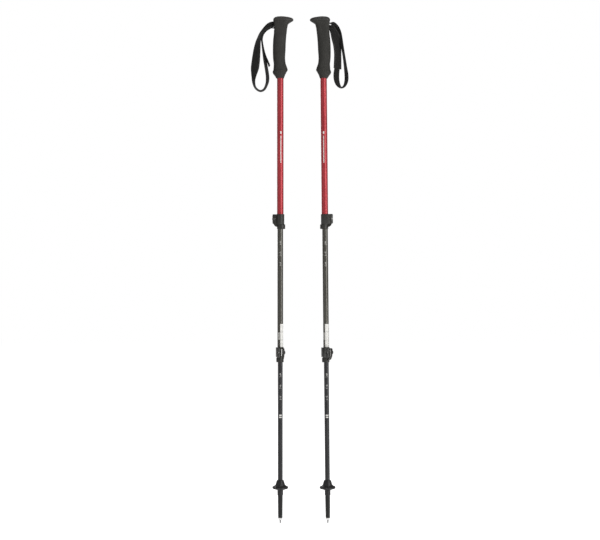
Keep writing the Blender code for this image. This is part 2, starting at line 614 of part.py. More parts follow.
def build_grip(side, frame):
    """Build the grip body with its bore, its strap slot and its pin hole."""
    rings = [section_ring(GRIP_BOTTOM + share * GRIP_LENGTH, *rest)
             for share, *rest in GRIP_SECTIONS]
    grip = dress(add_piece(f"{side}_grip", lofted(rings), frame), GRIP_FOAM)
    cutter = turned(cylinder_outline(GRIP_BORE, GRIP_BOTTOM - OVERCUT, SEAM + OVERCUT))
    shape_with(grip, add_piece(f"{side}_grip_bore_shape", cutter, frame), "DIFFERENCE")
    half_slot = WEBBING_WIDTH / 2.0 + SLOT_SIDE
    slot = block((-SLOT_FLOOR - GRIP_LENGTH, -half_slot, STRAP_PIN_Z - SLOT_BELOW_PIN),
                 (-SLOT_FLOOR, half_slot, SEAM + OVERCUT))
    shape_with(grip, add_piece(f"{side}_slot_shape", slot, frame), "DIFFERENCE")
    half_hole = STRAP_PIN_LENGTH / 2.0 + GAP
    hole = turned(cylinder_outline(STRAP_PIN_D / 2.0 + GAP, -half_hole, half_hole))
    pin_place = (-STRAP_PIN_OUT, 0.0, STRAP_PIN_Z)
    sideways = (math.radians(90.0), 0.0, 0.0)
    shape_with(grip, add_piece(f"{side}_pin_hole_shape", hole, frame, pin_place, sideways),
               "DIFFERENCE")

    half_pin = STRAP_PIN_LENGTH / 2.0
    pin = turned(cylinder_outline(STRAP_PIN_D / 2.0, -half_pin, half_pin))
    dress(add_piece(f"{side}_strap_pin", pin, frame, pin_place, sideways), BRIGHT_STEEL)

    wedge_bottom = STRAP_PIN_Z + EYE_RADIUS + WEBBING_THICKNESS / 2.0 + WEDGE_ABOVE_STRAP
    wedge = block((-SLOT_FLOOR - GAP - WEDGE_THICKNESS, -half_slot + GAP, wedge_bottom),
                  (-SLOT_FLOOR - GAP, half_slot - GAP, SEAM))
    dress(add_piece(f"{side}_strap_wedge", wedge, frame), WEDGE_PLASTIC)


def build_cap(side, frame):
    """Build the cap with the spigot that enters the upper shaft."""
    seat = SEAM + GAP
    spigot = UPPER_TUBE_D / 2.0 - TUBE_WALL - GAP
    rings = [round_ring(spigot, seat - CAP_SPIGOT_LENGTH), round_ring(spigot, seat)]
    rings += [section_ring(seat + share * CAP_HEIGHT, *rest) for share, *rest in CAP_SECTIONS]
    dress(add_piece(f"{side}_grip_cap", lofted(rings), frame), CAP_PLASTIC)


def eye_points():
    """List the strap points round the pin, from below it to above it."""
    radius = EYE_RADIUS / MM
    angles = [math.radians(-90.0 + 180.0 * step / EYE_STEPS) for step in range(EYE_STEPS + 1)]
    return tuple((-radius * math.cos(a), radius * math.sin(a), 0.0, 0.0) for a in angles)


def smooth_route(points):
    """Run a smooth curve through a strap's points, RIBBON_STEPS sections to each stretch."""
    before = 2.0 * Vector(points[0]) - Vector(points[1])
    after = 2.0 * Vector(points[-1]) - Vector(points[-2])
    knots = [before] + [Vector(point) for point in points] + [after]
    route = []
    for a, b, c, d in zip(knots, knots[1:], knots[2:], knots[3:]):
        for step in range(RIBBON_STEPS):
            t = step / RIBBON_STEPS
            route.append(0.5 * (2.0 * b + (c - a) * t + (2.0 * a - 5.0 * b + 4.0 * c - d) * t * t
                                + (3.0 * b - a - 3.0 * c + d) * t ** 3))
    route.append(knots[-2])
    return route


def ribbon(points, width, thickness, near):
    """Build a flat strap along its points; near is the sign of Y on the near side."""
    route = smooth_route(points)
    centres = [Vector((-out * MM, near * aside * MM, up * MM)) for out, up, aside, _ in route]
    turns = [math.radians(turn) for *_, turn in route]
    last = len(centres) - 1
    rings = []
    for index, (centre, turn) in enumerate(zip(centres, turns)):
        run = (centres[min(index + 1, last)] - centres[max(index - 1, 0)]).normalized()
        inwards = Vector((-run.z, 0.0, run.x)).normalized()
        broad = Vector((0.0, near, 0.0)) * math.cos(turn) + inwards * math.sin(turn)
        broad = (broad - run * broad.dot(run)).normalized()
        thin = run.cross(broad)
        wide = broad * width / 2.0
        deep = thin * thickness / 2.0
        rings.append([centre + wide + deep, centre - wide + deep, centre - wide - deep,
                      centre + wide - deep])
    return lofted(rings)


def build_strap(side, frame, near, band, webbing, tail):
    """Build the wrist strap, whose frame lies on the pin's axis."""
    swing = guide(f"{side}_strap_frame", frame, (-STRAP_PIN_OUT, 0.0, STRAP_PIN_Z))
    layers = (("band", band, BAND_WIDTH, BAND_THICKNESS),
              ("webbing", webbing, WEBBING_WIDTH, WEBBING_THICKNESS),
              ("tail", tail, WEBBING_WIDTH, WEBBING_THICKNESS))
    for layer, points, width, thickness in layers:
        dress(add_piece(f"{side}_strap_{layer}", ribbon(points, width, thickness, near), swing),
              STRAP_FABRIC)


def build_pole(side, tip_x, lean, facing, upper_turn, lower_turn, near, strap):
    """Build one pole in its own frame."""
    pole = guide(f"{side}_pole_frame", None, (tip_x, 0.0, 0.0), (0.0, lean, 0.0))
    build_tip(side, pole)
    build_ferrule(side, pole)
    build_basket(side, pole)
    lower_top = LOWER_TUBE_BOTTOM + LOWER_TUBE_LENGTH
    build_tube(f"{side}_lower_tube", pole, LOWER_TUBE_D, LOWER_TUBE_BOTTOM, lower_top,
               BLACK_TUBE)
    build_bush(f"{side}_lower_bush", pole, LOWER_TUBE_D, lower_top)
    middle_top = MIDDLE_TUBE_BOTTOM + MIDDLE_TUBE_LENGTH
    build_tube(f"{side}_middle_tube", pole, MIDDLE_TUBE_D, MIDDLE_TUBE_BOTTOM, middle_top,
               GREY_TUBE)
    build_bush(f"{side}_middle_bush", pole, MIDDLE_TUBE_D, middle_top)
    build_tube(f"{side}_upper_tube", pole, UPPER_TUBE_D, UPPER_TUBE_BOTTOM, SEAM - TUBE_BELOW_SEAM,
               RED_TUBE)
    build_clamp(f"{side}_lower", pole, LOWER_CLAMP, lower_turn, MIDDLE_TUBE_D, LOWER_TUBE_D)
    build_clamp(f"{side}_upper", pole, UPPER_CLAMP, upper_turn, UPPER_TUBE_D, MIDDLE_TUBE_D)
    hand = guide(f"{side}_grip_frame", pole, (0.0, 0.0, 0.0), (0.0, 0.0, facing))
    build_grip(side, hand)
    build_cap(side, hand)
    build_strap(side, hand, near, *strap)


def main():
    """Build the pair."""
    clear_scene()
    left_strap = (LEFT_BAND, LEFT_WEBBING + eye_points() + LEFT_WEBBING_END, LEFT_TAIL)
    right_eye = tuple(reversed(eye_points()))
    right_strap = (RIGHT_BAND, RIGHT_WEBBING + right_eye + RIGHT_WEBBING_END, RIGHT_TAIL)
    build_pole("left", 0.0, 0.0, 0.0, math.radians(180.0), math.radians(-67.5), -1.0, left_strap)
    build_pole("right", RIGHT_TIP_X, RIGHT_LEAN, math.radians(180.0), 0.0, math.radians(-45.0), 1.0,
               right_strap)


main()
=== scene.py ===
"""Looks for a pair of three-section trekking poles with cam-lever clamps.

Each pole is dressed in its own frame, whose Z axis is the shaft, and the left pole's frame is the
shared frame. Each clamp has a frame of its own, whose X axis points from the shaft to the lever's
pivot. Every shape is a grid of points worked out as whole arrays and closed into a solid skin.
"""

import logging
import math
from dataclasses import dataclass, field
from enum import Enum

import bpy
import numpy as np
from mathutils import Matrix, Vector


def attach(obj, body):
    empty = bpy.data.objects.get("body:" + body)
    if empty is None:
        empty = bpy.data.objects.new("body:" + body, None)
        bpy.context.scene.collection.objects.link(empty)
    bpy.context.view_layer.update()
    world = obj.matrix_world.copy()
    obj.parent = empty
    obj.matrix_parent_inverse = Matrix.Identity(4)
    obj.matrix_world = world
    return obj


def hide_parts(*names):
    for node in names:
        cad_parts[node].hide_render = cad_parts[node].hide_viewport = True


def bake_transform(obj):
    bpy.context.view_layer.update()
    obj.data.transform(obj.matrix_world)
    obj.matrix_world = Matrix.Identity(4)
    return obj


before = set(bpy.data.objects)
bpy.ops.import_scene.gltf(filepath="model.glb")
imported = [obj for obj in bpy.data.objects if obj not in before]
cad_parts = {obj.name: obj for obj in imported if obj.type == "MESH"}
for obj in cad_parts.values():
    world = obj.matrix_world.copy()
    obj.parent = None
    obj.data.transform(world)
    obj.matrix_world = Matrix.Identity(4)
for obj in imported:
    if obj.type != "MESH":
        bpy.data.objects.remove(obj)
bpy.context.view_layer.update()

Array = np.ndarray
Triple = tuple[float, float, float]
Table = tuple[tuple[float, ...], ...]
MM = 0.001
TURN = 2.0 * math.pi
LOG = logging.getLogger("trekking_poles")

SLOT_HALF_WIDTH = 8.3 * MM
ACROSS = np.array([[1.0, 0.0, 0.0], [0.0, 0.0, 1.0], [0.0, 1.0, 0.0]])    # swaps Y and Z


# --- Frames ---

@dataclass(frozen=True)
class Placement:
    """A turn and then a shift that take a piece's own frame into the shared frame."""

    turn: Array
    shift: Array

    def apply(self, points: Array) -> Array:
        """Take points, one a row, into the shared frame."""
        return points @ self.turn.T + self.shift

    def inside(self, inner: "Placement") -> "Placement":
        """Return the placement of a frame that is itself placed in this one."""
        return Placement(self.turn @ inner.turn, self.turn @ inner.shift + self.shift)


def about_z(angle: float, shift: Triple = (0.0, 0.0, 0.0)) -> Placement:
    """Return a turn about Z by an angle in radians, and then a shift."""
    c, s = math.cos(angle), math.sin(angle)
    return Placement(np.array([[c, -s, 0.0], [s, c, 0.0], [0.0, 0.0, 1.0]]), np.array(shift))


def about_y(angle: float, shift: Triple = (0.0, 0.0, 0.0)) -> Placement:
    """Return a turn about Y by an angle in radians, and then a shift."""
    c, s = math.cos(angle), math.sin(angle)
    return Placement(np.array([[c, 0.0, s], [0.0, 1.0, 0.0], [-s, 0.0, c]]), np.array(shift))


# --- Skins ---

@dataclass
class Shell:
    """A closed skin: points, four-sided faces, a UV for each corner of them, and end caps."""

    points: Array
    faces: Array
    corners: Array
    caps: list[Array] = field(default_factory=list)

    def facing_out(self) -> "Shell":
        """Return the shell with its faces outwards, found from the sign of its volume.

        The volume is the sum of the boxes on each face's corners, each a sixth of the triple
        product of a triangle's corners, with the caps taken as fans about their middles.
        """
        a, b, c, d = (self.points[self.faces[:, k]] for k in range(4))
        volume = np.sum(a * np.cross(b, c)) + np.sum(a * np.cross(c, d))
        for cap in self.caps:
            rim = self.points[cap]
            volume += np.sum(rim.mean(0) * np.cross(rim, np.roll(rim, -1, axis=0)))
        if volume < 0.0:
            return Shell(self.points, self.faces[:, ::-1], self.corners[:, ::-1],
                         [cap[::-1] for cap in self.caps])
        return self


def surface(grid: Array, across: Array, along: Array, wrap: bool = False) -> Shell:
    """Close a grid of points round its columns.

    Args:
        grid: points by row and column; the last column joins the first.
        across: U at each column and, last, where the first column is met again.
        along: V at each row and, last, where the first row would be met again.
        wrap: whether the last row joins the first; otherwise both end rows are capped.

    Returns:
        The closed shell, facing outwards.
    """
    rows, columns = grid.shape[:2]
    i = np.arange(rows if wrap else rows - 1)[:, None]
    j = np.arange(columns)[None, :]

    def number(a: Array, b: Array) -> Array:
        """Number the point at a row and a column."""
        return (a % rows) * columns + b % columns

    steps = ((i, j), (i, j + 1), (i + 1, j + 1), (i + 1, j))
    faces = np.stack([number(a, b) for a, b in steps], -1).reshape(-1, 4)
    corners = np.stack([np.stack(np.broadcast_arrays(across[b], along[a]), -1)
                        for a, b in steps], -2).reshape(-1, 4, 2)
    ring = np.arange(columns)
    caps = [] if wrap else [ring[::-1], (rows - 1) * columns + ring]
    return Shell(grid.reshape(-1, 3), faces, corners, caps).facing_out()


def spun(profile: Array, sides: int = 64, wave: Array | None = None, wrap: bool = True) -> Shell:
    """Turn a profile of (radius, height) points round Z.

    Args:
        profile: the points of the outline, in order.
        sides: how many columns there are round the axis.
        wave: factors on the radius, by row and column, or None for a plain turned shape.
        wrap: whether the outline is a loop; otherwise its two ends are capped.

    Returns:
        A shell whose point is (r cos a, r sin a, z), with U the turn and V the height in metres.
    """
    angles = TURN * np.arange(sides) / sides
    radius = profile[:, 0:1] * (1.0 if wave is None else wave)
    radius = np.broadcast_to(radius, (len(profile), sides))
    height = np.broadcast_to(profile[:, 1:2], radius.shape)
    grid = np.stack([radius * np.cos(angles), radius * np.sin(angles), height], -1)
    along = np.append(profile[:, 1], profile[0, 1])
    return surface(grid, np.arange(sides + 1) / sides, along, wrap)


def raised(outline: Array, low: float, high: float, low_edge: float, high_edge: float,
           steps: int = 4) -> Shell:
    """Raise a flat outline between two heights, with rounded edges.

    Each row is the outline moved inwards along its own normals by edge (1 - sin t) at a height
    edge (1 - cos t) from the end, for t from 0 to a right angle, which is a quarter circle.

    Args:
        outline: (x, y) points, in order.
        low: the lower height.
        high: the upper height.
        low_edge: radius of the lower edge.
        high_edge: radius of the upper edge.
        steps: rows in each rounded edge.

    Returns:
        The shell, with U the way round in metres and V the height.
    """
    run = np.roll(outline, -1, axis=0) - np.roll(outline, 1, axis=0)
    normal = np.stack([run[:, 1], -run[:, 0]], -1)
    normal /= np.linalg.norm(normal, axis=1, keepdims=True) + 1e-12
    area = np.sum(outline[:, 0] * np.roll(outline[:, 1], -1)
                  - outline[:, 1] * np.roll(outline[:, 0], -1))
    normal *= math.copysign(1.0, area)
    t = np.linspace(0.0, math.pi / 2.0, steps + 1)
    inset = np.concatenate([low_edge * (1.0 - np.sin(t)), high_edge * (1.0 - np.sin(t[::-1]))])
    height = np.concatenate([low + low_edge * (1.0 - np.cos(t)),
                             high - high_edge * (1.0 - np.cos(t[::-1]))])
    flat = outline[None] - normal[None] * inset[:, None, None]
    grid = np.concatenate([flat, np.broadcast_to(height[:, None, None], (*flat.shape[:2], 1))], -1)
    legs = np.linalg.norm(np.roll(outline, -1, axis=0) - outline, axis=1)
    return surface(grid, np.append(0.0, np.cumsum(legs)), np.append(height, height[0]))


def moved(shell: Shell, turn: Array, shift: Triple) -> Shell:
    """Return a shell turned and then shifted."""
    placed = Placement(turn, np.array(shift)).apply(shell.points)
    return Shell(placed, shell.faces, shell.corners, shell.caps).facing_out()


def arc(radius: float, start: float, end: float, steps: int,
        centre: tuple[float, float] = (0.0, 0.0)) -> Array:
    """Return the points centre + radius (cos a, sin a), with a in degrees, both ends included."""
    a = np.radians(np.linspace(start, end, steps + 1))
    return np.stack([centre[0] + radius * np.cos(a), centre[1] + radius * np.sin(a)], -1)


def hermite(knots: Array, values: Array, wanted: Array) -> Array:
    """Read a smooth curve through values at knots.

    Between two knots the curve is the cubic with the two values and the two slopes, and each
    slope is the weighted difference of the values on its two sides.

    Args:
        knots: rising numbers.
        values: one row for each knot.
        wanted: where to read the curve.

    Returns:
        One row for each wanted number.
    """
    slopes = np.gradient(values, knots, axis=0)
    k = np.clip(np.searchsorted(knots, wanted, side="right") - 1, 0, len(knots) - 2)
    span = (knots[k + 1] - knots[k])[:, None]
    t = ((wanted - knots[k])[:, None]) / span
    return ((2 * t ** 3 - 3 * t ** 2 + 1) * values[k] + (t ** 3 - 2 * t ** 2 + t) * span * slopes[k]
            + (3 * t ** 2 - 2 * t ** 3) * values[k + 1] + (t ** 3 - t ** 2) * span * slopes[k + 1])


def smooth_step(low: float, high: float, value: Array) -> Array:
    """Rise from 0 to 1 between two numbers along the cubic 3 t t - 2 t t t."""
    t = np.clip((value - low) / (high - low), 0.0, 1.0)
    return t * t * (3.0 - 2.0 * t)


# --- Shader graphs ---

class Value:
    """An output socket that can be used in arithmetic; each operator adds a Math node."""

    def __init__(self, graph: "Graph", socket: bpy.types.NodeSocket) -> None:
        """Keep the graph and the socket."""
        self.graph = graph
        self.socket = socket

    def __add__(self, other: "Value | float") -> "Value":
        """Add."""
        return self.graph.maths("ADD", self, other)

    __radd__ = __add__

    def __sub__(self, other: "Value | float") -> "Value":
        """Take the other from this."""
        return self.graph.maths("SUBTRACT", self, other)

    def __rsub__(self, other: float) -> "Value":
        """Take this from the other."""
        return self.graph.maths("SUBTRACT", other, self)

    def __mul__(self, other: "Value | float") -> "Value":
        """Multiply."""
        return self.graph.maths("MULTIPLY", self, other)

    __rmul__ = __mul__

    def __truediv__(self, other: "Value | float") -> "Value":
        """Divide."""
        return self.graph.maths("DIVIDE", self, other)

    def sine(self) -> "Value":
        """Take the sine."""
        return self.graph.maths("SINE", self)

    def fraction(self) -> "Value":
        """Keep the part after the point."""
        return self.graph.maths("FRACT", self)

    def size(self) -> "Value":
        """Drop the sign."""
        return self.graph.maths("ABSOLUTE", self)

    def ramp(self, low: float, high: float) -> "Value":
        """Rise from 0 to 1 between two numbers, smoothly, and stay inside that range."""
        node = self.graph.node("ShaderNodeMapRange", {"interpolation_type": "SMOOTHSTEP"},
                               {"Value": self, "From Min": low, "From Max": high})
        return Value(self.graph, node.outputs["Result"])


class Graph:
    """A material's node tree, with short ways to add the nodes that the finishes need."""

    def __init__(self, name: str) -> None:
        """Start a material with one Principled shader."""
        self.material = bpy.data.materials.new(name)
        self.material.use_nodes = True
        self.tree = self.material.node_tree
        self.shader = self.tree.nodes["Principled BSDF"]

    def node(self, kind: str, settings: dict[str, object],
             values: dict[str | int, object]) -> bpy.types.Node:
        """Add a node.

        Args:
            kind: the node's type.
            settings: its properties, with the stops of a ramp as (place, colour) pairs.
            values: what goes into its sockets: a number, a colour, a Value or a socket.

        Returns:
            The node.
        """
        node = self.tree.nodes.new(kind)
        for key, setting in settings.items():
            if key == "stops":
                band = node.color_ramp.elements
                while len(band) < len(setting):
                    band.new(0.5)
                for element, (place, colour) in zip(band, setting):
                    element.position, element.color = place, (*colour, 1.0)
            else:
                setattr(node, key, setting)
        for key, value in values.items():
            self.feed(node.inputs[key], value)
        return node

    def feed(self, socket: bpy.types.NodeSocket, value: object) -> None:
        """Link a Value or a socket to an input, or set the input to a plain value."""
        if isinstance(value, Value):
            self.tree.links.new(value.socket, socket)
        elif isinstance(value, bpy.types.NodeSocket):
            self.tree.links.new(value, socket)
        elif isinstance(value, tuple) and len(value) == 3 and socket.type == "RGBA":
            socket.default_value = (*value, 1.0)
        else:
            socket.default_value = value

    def maths(self, operation: str, *terms: "Value | float") -> Value:
        """Add a Math node."""
        node = self.node("ShaderNodeMath", {"operation": operation}, dict(enumerate(terms)))
        return Value(self, node.outputs[0])

    def place(self, scale: Triple = (1.0, 1.0, 1.0)) -> bpy.types.NodeSocket:
        """Give the object's own coordinates in metres, scaled."""
        source = self.node("ShaderNodeTexCoord", {}, {}).outputs["Object"]
        return self.node("ShaderNodeMapping", {}, {"Vector": source, "Scale": scale}
                         ).outputs["Vector"]

    def uv(self) -> tuple[Value, Value]:
        """Give the two parts of the piece's UV map."""
        source = self.node("ShaderNodeUVMap", {"uv_map": "skin"}, {}).outputs["UV"]
        parts = self.node("ShaderNodeSeparateXYZ", {}, {"Vector": source})
        return Value(self, parts.outputs["X"]), Value(self, parts.outputs["Y"])

    def join(self, x: Value, y: Value, z: "Value | float" = 0.0) -> bpy.types.NodeSocket:
        """Make a vector of three values."""
        return self.node("ShaderNodeCombineXYZ", {}, {"X": x, "Y": y, "Z": z}).outputs["Vector"]

    def noise(self, vector: bpy.types.NodeSocket, scale: float, detail: float = 3.0,
              roughness: float = 0.5) -> Value:
        """Add noise with a scale in waves to the metre."""
        node = self.node("ShaderNodeTexNoise", {},
                         {"Vector": vector, "Scale": scale, "Detail": detail,
                          "Roughness": roughness})
        return Value(self, node.outputs[0])

    def cells(self, vector: bpy.types.NodeSocket, scale: float) -> Value:
        """Add the distance to the nearest of scattered points."""
        node = self.node("ShaderNodeTexVoronoi", {}, {"Vector": vector, "Scale": scale})
        return Value(self, node.outputs["Distance"])

    def blend(self, factor: "Value | float", first: object, second: object
              ) -> bpy.types.NodeSocket:
        """Mix two colours."""
        node = self.node("ShaderNodeMix", {"data_type": "RGBA"}, {0: factor, 6: first, 7: second})
        return node.outputs[2]

    def wear(self, low: float, high: float) -> Value:
        """Find the worn outer edges from how sharply the skin bends."""
        point = self.node("ShaderNodeNewGeometry", {}, {}).outputs["Pointiness"]
        return Value(self, point).ramp(low, high)

    def finish(self, colour: object, roughness: object, metallic: float = 0.0,
               height: Value | None = None, depth: float = 0.0001, strength: float = 0.5,
               **constants: object) -> bpy.types.Material:
        """Feed the shader and return the material.

        Args:
            colour: a colour or a socket that varies.
            roughness: a number or a Value.
            metallic: how metallic the surface is.
            height: the pattern that the bump follows, or None.
            depth: the bump's depth in metres.
            strength: how much of the bump is seen.
            constants: other inputs of the shader by name, with _ for a space.

        Returns:
            The material.
        """
        self.feed(self.shader.inputs["Base Color"], colour)
        self.feed(self.shader.inputs["Roughness"], roughness)
        self.feed(self.shader.inputs["Metallic"], metallic)
        for key, value in constants.items():
            self.feed(self.shader.inputs[key.replace("_", " ")], value)
        if height is not None:
            bump = self.node("ShaderNodeBump", {}, {"Strength": strength, "Distance": depth,
                                                    "Height": height})
            self.feed(self.shader.inputs["Normal"], bump.outputs["Normal"])
        return self.material


# --- Finishes ---

@dataclass(frozen=True)
class GripFoam:
    """Closed-cell foam: a dark, dull ground with fine pores and a slightly lighter bloom."""

    ground: Triple = (0.0145, 0.0138, 0.0118)
    bloom: Triple = (0.0250, 0.0238, 0.0210)
    pore_scale: float = 1500.0

    def material(self, name: str) -> bpy.types.Material:
        """Make the material."""
        g = Graph(name)
        place = g.place()
        cloud = g.noise(place, 60.0, 4.0)
        pores = g.cells(place, self.pore_scale)
        grain = g.noise(place, 2600.0, 2.0)
        colour = g.blend((cloud * 0.7 + grain * 0.5).ramp(0.4, 0.85), self.ground, self.bloom)
        rough = 0.70 + cloud * 0.16
        return g.finish(colour, rough, height=pores * 0.8 + grain * 0.6, depth=0.00018,
                        strength=0.45, Specular_IOR_Level=0.32)


@dataclass(frozen=True)
class MouldedPlastic:
    """Moulded plastic with a spark-eroded grain, and rubbed edges that shine a little."""

    ground: Triple
    rubbed: Triple
    roughness: float = 0.42
    grain_scale: float = 1800.0
    grain_depth: float = 0.00006
    specular: float = 0.45

    def material(self, name: str) -> bpy.types.Material:
        """Make the material."""
        g = Graph(name)
        place = g.place()
        grain = g.noise(place, self.grain_scale, 3.0, 0.6)
        cloud = g.noise(place, 45.0, 3.0)
        worn = g.wear(0.52, 0.60)
        scuffs = g.noise(g.place((40.0, 40.0, 6.0)), 9.0, 4.0, 0.7).ramp(0.62, 0.74)
        colour = g.blend(worn * 0.55 + scuffs * 0.18 + cloud * 0.12, self.ground, self.rubbed)
        rough = self.roughness + grain * 0.10 + cloud * 0.06 - worn * 0.10
        return g.finish(colour, rough, height=grain, depth=self.grain_depth, strength=0.5,
                        Specular_IOR_Level=self.specular)


@dataclass(frozen=True)
class Anodised:
    """Drawn aluminium tube, coloured and sealed: fine lines along it, dust and light rubs."""

    ground: Triple
    deep: Triple
    metallic: float = 0.75
    roughness: float = 0.30
    coat: float = 0.35

    def material(self, name: str) -> bpy.types.Material:
        """Make the material."""
        g = Graph(name)
        lines = g.noise(g.place((1.0, 1.0, 0.012)), 2400.0, 3.0, 0.6)
        cloud = g.noise(g.place((1.0, 1.0, 0.25)), 70.0, 4.0)
        rubs = g.noise(g.place((1.0, 1.0, 0.06)), 520.0, 2.0, 0.7).ramp(0.66, 0.80)
        colour = g.blend(cloud.ramp(0.3, 0.7) * 0.6 + lines * 0.3, self.deep, self.ground)
        rough = self.roughness + lines * 0.08 + rubs * 0.12 + cloud * 0.04
        return g.finish(colour, rough, self.metallic, height=lines, depth=0.00002, strength=0.35,
                        Coat_Weight=self.coat, Coat_Roughness=0.25)


@dataclass(frozen=True)
class Steel:
    """Bright or sintered metal: turning lines round it, stains and rubs."""

    ground: Triple = (0.50, 0.50, 0.49)
    stained: Triple = (0.30, 0.29, 0.28)
    roughness: float = 0.26

    def material(self, name: str) -> bpy.types.Material:
        """Make the material."""
        g = Graph(name)
        turned = g.noise(g.place((0.06, 0.06, 1.0)), 5200.0, 2.0, 0.6)
        cloud = g.noise(g.place(), 260.0, 4.0, 0.6)
        colour = g.blend(cloud.ramp(0.42, 0.74), self.ground, self.stained)
        rough = self.roughness + cloud * 0.18 + turned * 0.08
        return g.finish(colour, rough, 1.0, height=turned, depth=0.00002, strength=0.4)


@dataclass(frozen=True)
class WovenStrap:
    """Flat woven webbing: ribs of a herringbone weave, bound edges and rows of stitches.

    U runs round the strap's section and V along it, both in metres, and U is 0 at the middle of
    one broad face.
    """

    width: float
    ground: Triple = (0.0040, 0.0040, 0.0037)
    raised: Triple = (0.0120, 0.0118, 0.0110)
    rib: float = 0.0011
    stitch_rows: tuple[float, ...] = ()
    stitch: float = 0.0032

    def material(self, name: str) -> bpy.types.Material:
        """Make the material."""
        g = Graph(name)
        across, along = g.uv()
        zigzag = (across / (self.rib * 5.0)).fraction() - 0.5
        ribs = ((along + zigzag.size() * self.rib * 4.0) * (TURN / self.rib)).sine() * 0.5 + 0.5
        threads = (across * (TURN / (self.rib * 0.5))).sine() * 0.5 + 0.5
        fuzz = g.noise(g.join(across, along), 3800.0, 3.0, 0.7)
        cloud = g.noise(g.place(), 90.0, 3.0)
        edge = across.size().ramp(self.width * 0.5 - 0.0022, self.width * 0.5 - 0.0010)
        height = ribs * 0.7 + threads * 0.25 + fuzz * 0.25 - edge * 0.3
        colour = g.blend(ribs * 0.35 + fuzz * 0.5 + cloud * 0.25, self.ground, self.raised)
        if self.stitch_rows:
            sewn: Value | float = 0.0
            for row in self.stitch_rows:
                near = 1.0 - (across.size() - row).size().ramp(0.00035, 0.0006)
                dash = 1.0 - ((along / self.stitch).fraction() - 0.5).size().ramp(0.30, 0.38)
                sewn = near * dash + sewn
                height = height - near * 1.1
            height = height + sewn * 1.6
            colour = g.blend(sewn, colour, (0.055, 0.054, 0.051))
        return g.finish(colour, 0.80 + fuzz * 0.12, height=height, depth=0.00028, strength=0.7,
                        Sheen_Weight=0.06, Sheen_Roughness=0.5, Specular_IOR_Level=0.18)


@dataclass(frozen=True)
class PrintedInk:
    """Screen-printed ink: pale, a little worn through, with a fine mottle."""

    ground: Triple = (0.62, 0.61, 0.58)
    worn: Triple = (0.26, 0.255, 0.24)
    roughness: float = 0.5

    def material(self, name: str) -> bpy.types.Material:
        """Make the material."""
        g = Graph(name)
        scratches = g.noise(g.place((1.0, 1.0, 0.08)), 1700.0, 3.0, 0.7).ramp(0.60, 0.76)
        mottle = g.noise(g.place(), 900.0, 3.0, 0.6)
        colour = g.blend(scratches * 0.6 + mottle * 0.25, self.ground, self.worn)
        return g.finish(colour, self.roughness + mottle * 0.15, height=mottle, depth=0.00002,
                        strength=0.3)


@dataclass(frozen=True)
class StagePaint:
    """Plain pale floor."""

    ground: Triple = (0.86, 0.86, 0.86)
    glow: float = 0.78

    def material(self, name: str) -> bpy.types.Material:
        """Make the material."""
        g = Graph(name)
        cloud = g.noise(g.place(), 1.5, 2.0)
        return g.finish(g.blend(cloud * 0.2, self.ground, (0.84, 0.84, 0.84)), 0.9,
                        Specular_IOR_Level=0.1, Emission_Color=(1.0, 1.0, 1.0),
                        Emission_Strength=self.glow)


class Slot(Enum):
    """Material slots of the part."""

    GRIP = "grip_foam"
    CAP = "cap_plastic"
    STEEL = "bright_steel"
    BLACK = "black_plastic"
    BAND = "strap_band"
    WEBBING = "strap_webbing"
    RED = "red_tube"
    GREY = "grey_tube"
    DARK = "black_tube"
    CLAMP = "clamp_plastic"
    LEVER = "lever_plastic"
    PLATE = "plate_steel"
    BUSH = "bush_plastic"
    FERRULE = "ferrule_plastic"
    BASKET = "basket_plastic"
    CARBIDE = "carbide"
    SLEEVE = "bright_sleeve"


BAND_WIDTH = 25.0 * MM
WEBBING_WIDTH = 15.0 * MM

FINISHES = {
    Slot.GRIP: GripFoam(),
    Slot.CAP: MouldedPlastic((0.020, 0.0188, 0.017), (0.050, 0.047, 0.043),
                             0.52, 1300.0, 0.0001, 0.4),
    Slot.STEEL: Steel((0.13, 0.13, 0.125), (0.07, 0.07, 0.068), 0.34),
    Slot.BLACK: MouldedPlastic((0.014, 0.014, 0.013), (0.04, 0.04, 0.038)),
    Slot.BAND: WovenStrap(BAND_WIDTH, rib=0.0014, stitch_rows=(0.0100,)),
    Slot.WEBBING: WovenStrap(WEBBING_WIDTH),
    Slot.RED: Anodised((0.37, 0.034, 0.042), (0.27, 0.017, 0.023), 0.62, 0.45, 0.22),
    Slot.GREY: Anodised((0.076, 0.073, 0.061), (0.045, 0.042, 0.035), 0.72, 0.36, 0.25),
    Slot.DARK: Anodised((0.024, 0.024, 0.025), (0.012, 0.012, 0.013), 0.66, 0.38, 0.15),
    Slot.CLAMP: MouldedPlastic((0.013, 0.0128, 0.0104), (0.050, 0.050, 0.045),
                               0.38, specular=0.32),
    Slot.LEVER: MouldedPlastic((0.015, 0.015, 0.013), (0.060, 0.060, 0.055),
                               0.32, specular=0.36),
    Slot.PLATE: Steel((0.42, 0.42, 0.41), (0.24, 0.235, 0.23), 0.32),
    Slot.BUSH: MouldedPlastic((0.55, 0.55, 0.52), (0.66, 0.66, 0.63), 0.45),
    Slot.FERRULE: MouldedPlastic((0.0045, 0.0045, 0.0042), (0.022, 0.022, 0.020),
                                 0.34, specular=0.28),
    Slot.BASKET: MouldedPlastic((0.0075, 0.0068, 0.0072), (0.040, 0.038, 0.040),
                                0.36, specular=0.30),
    Slot.CARBIDE: Steel((0.16, 0.16, 0.16), (0.07, 0.07, 0.07), 0.36),
    Slot.SLEEVE: Steel((0.66, 0.66, 0.65), (0.42, 0.41, 0.40), 0.22),
}


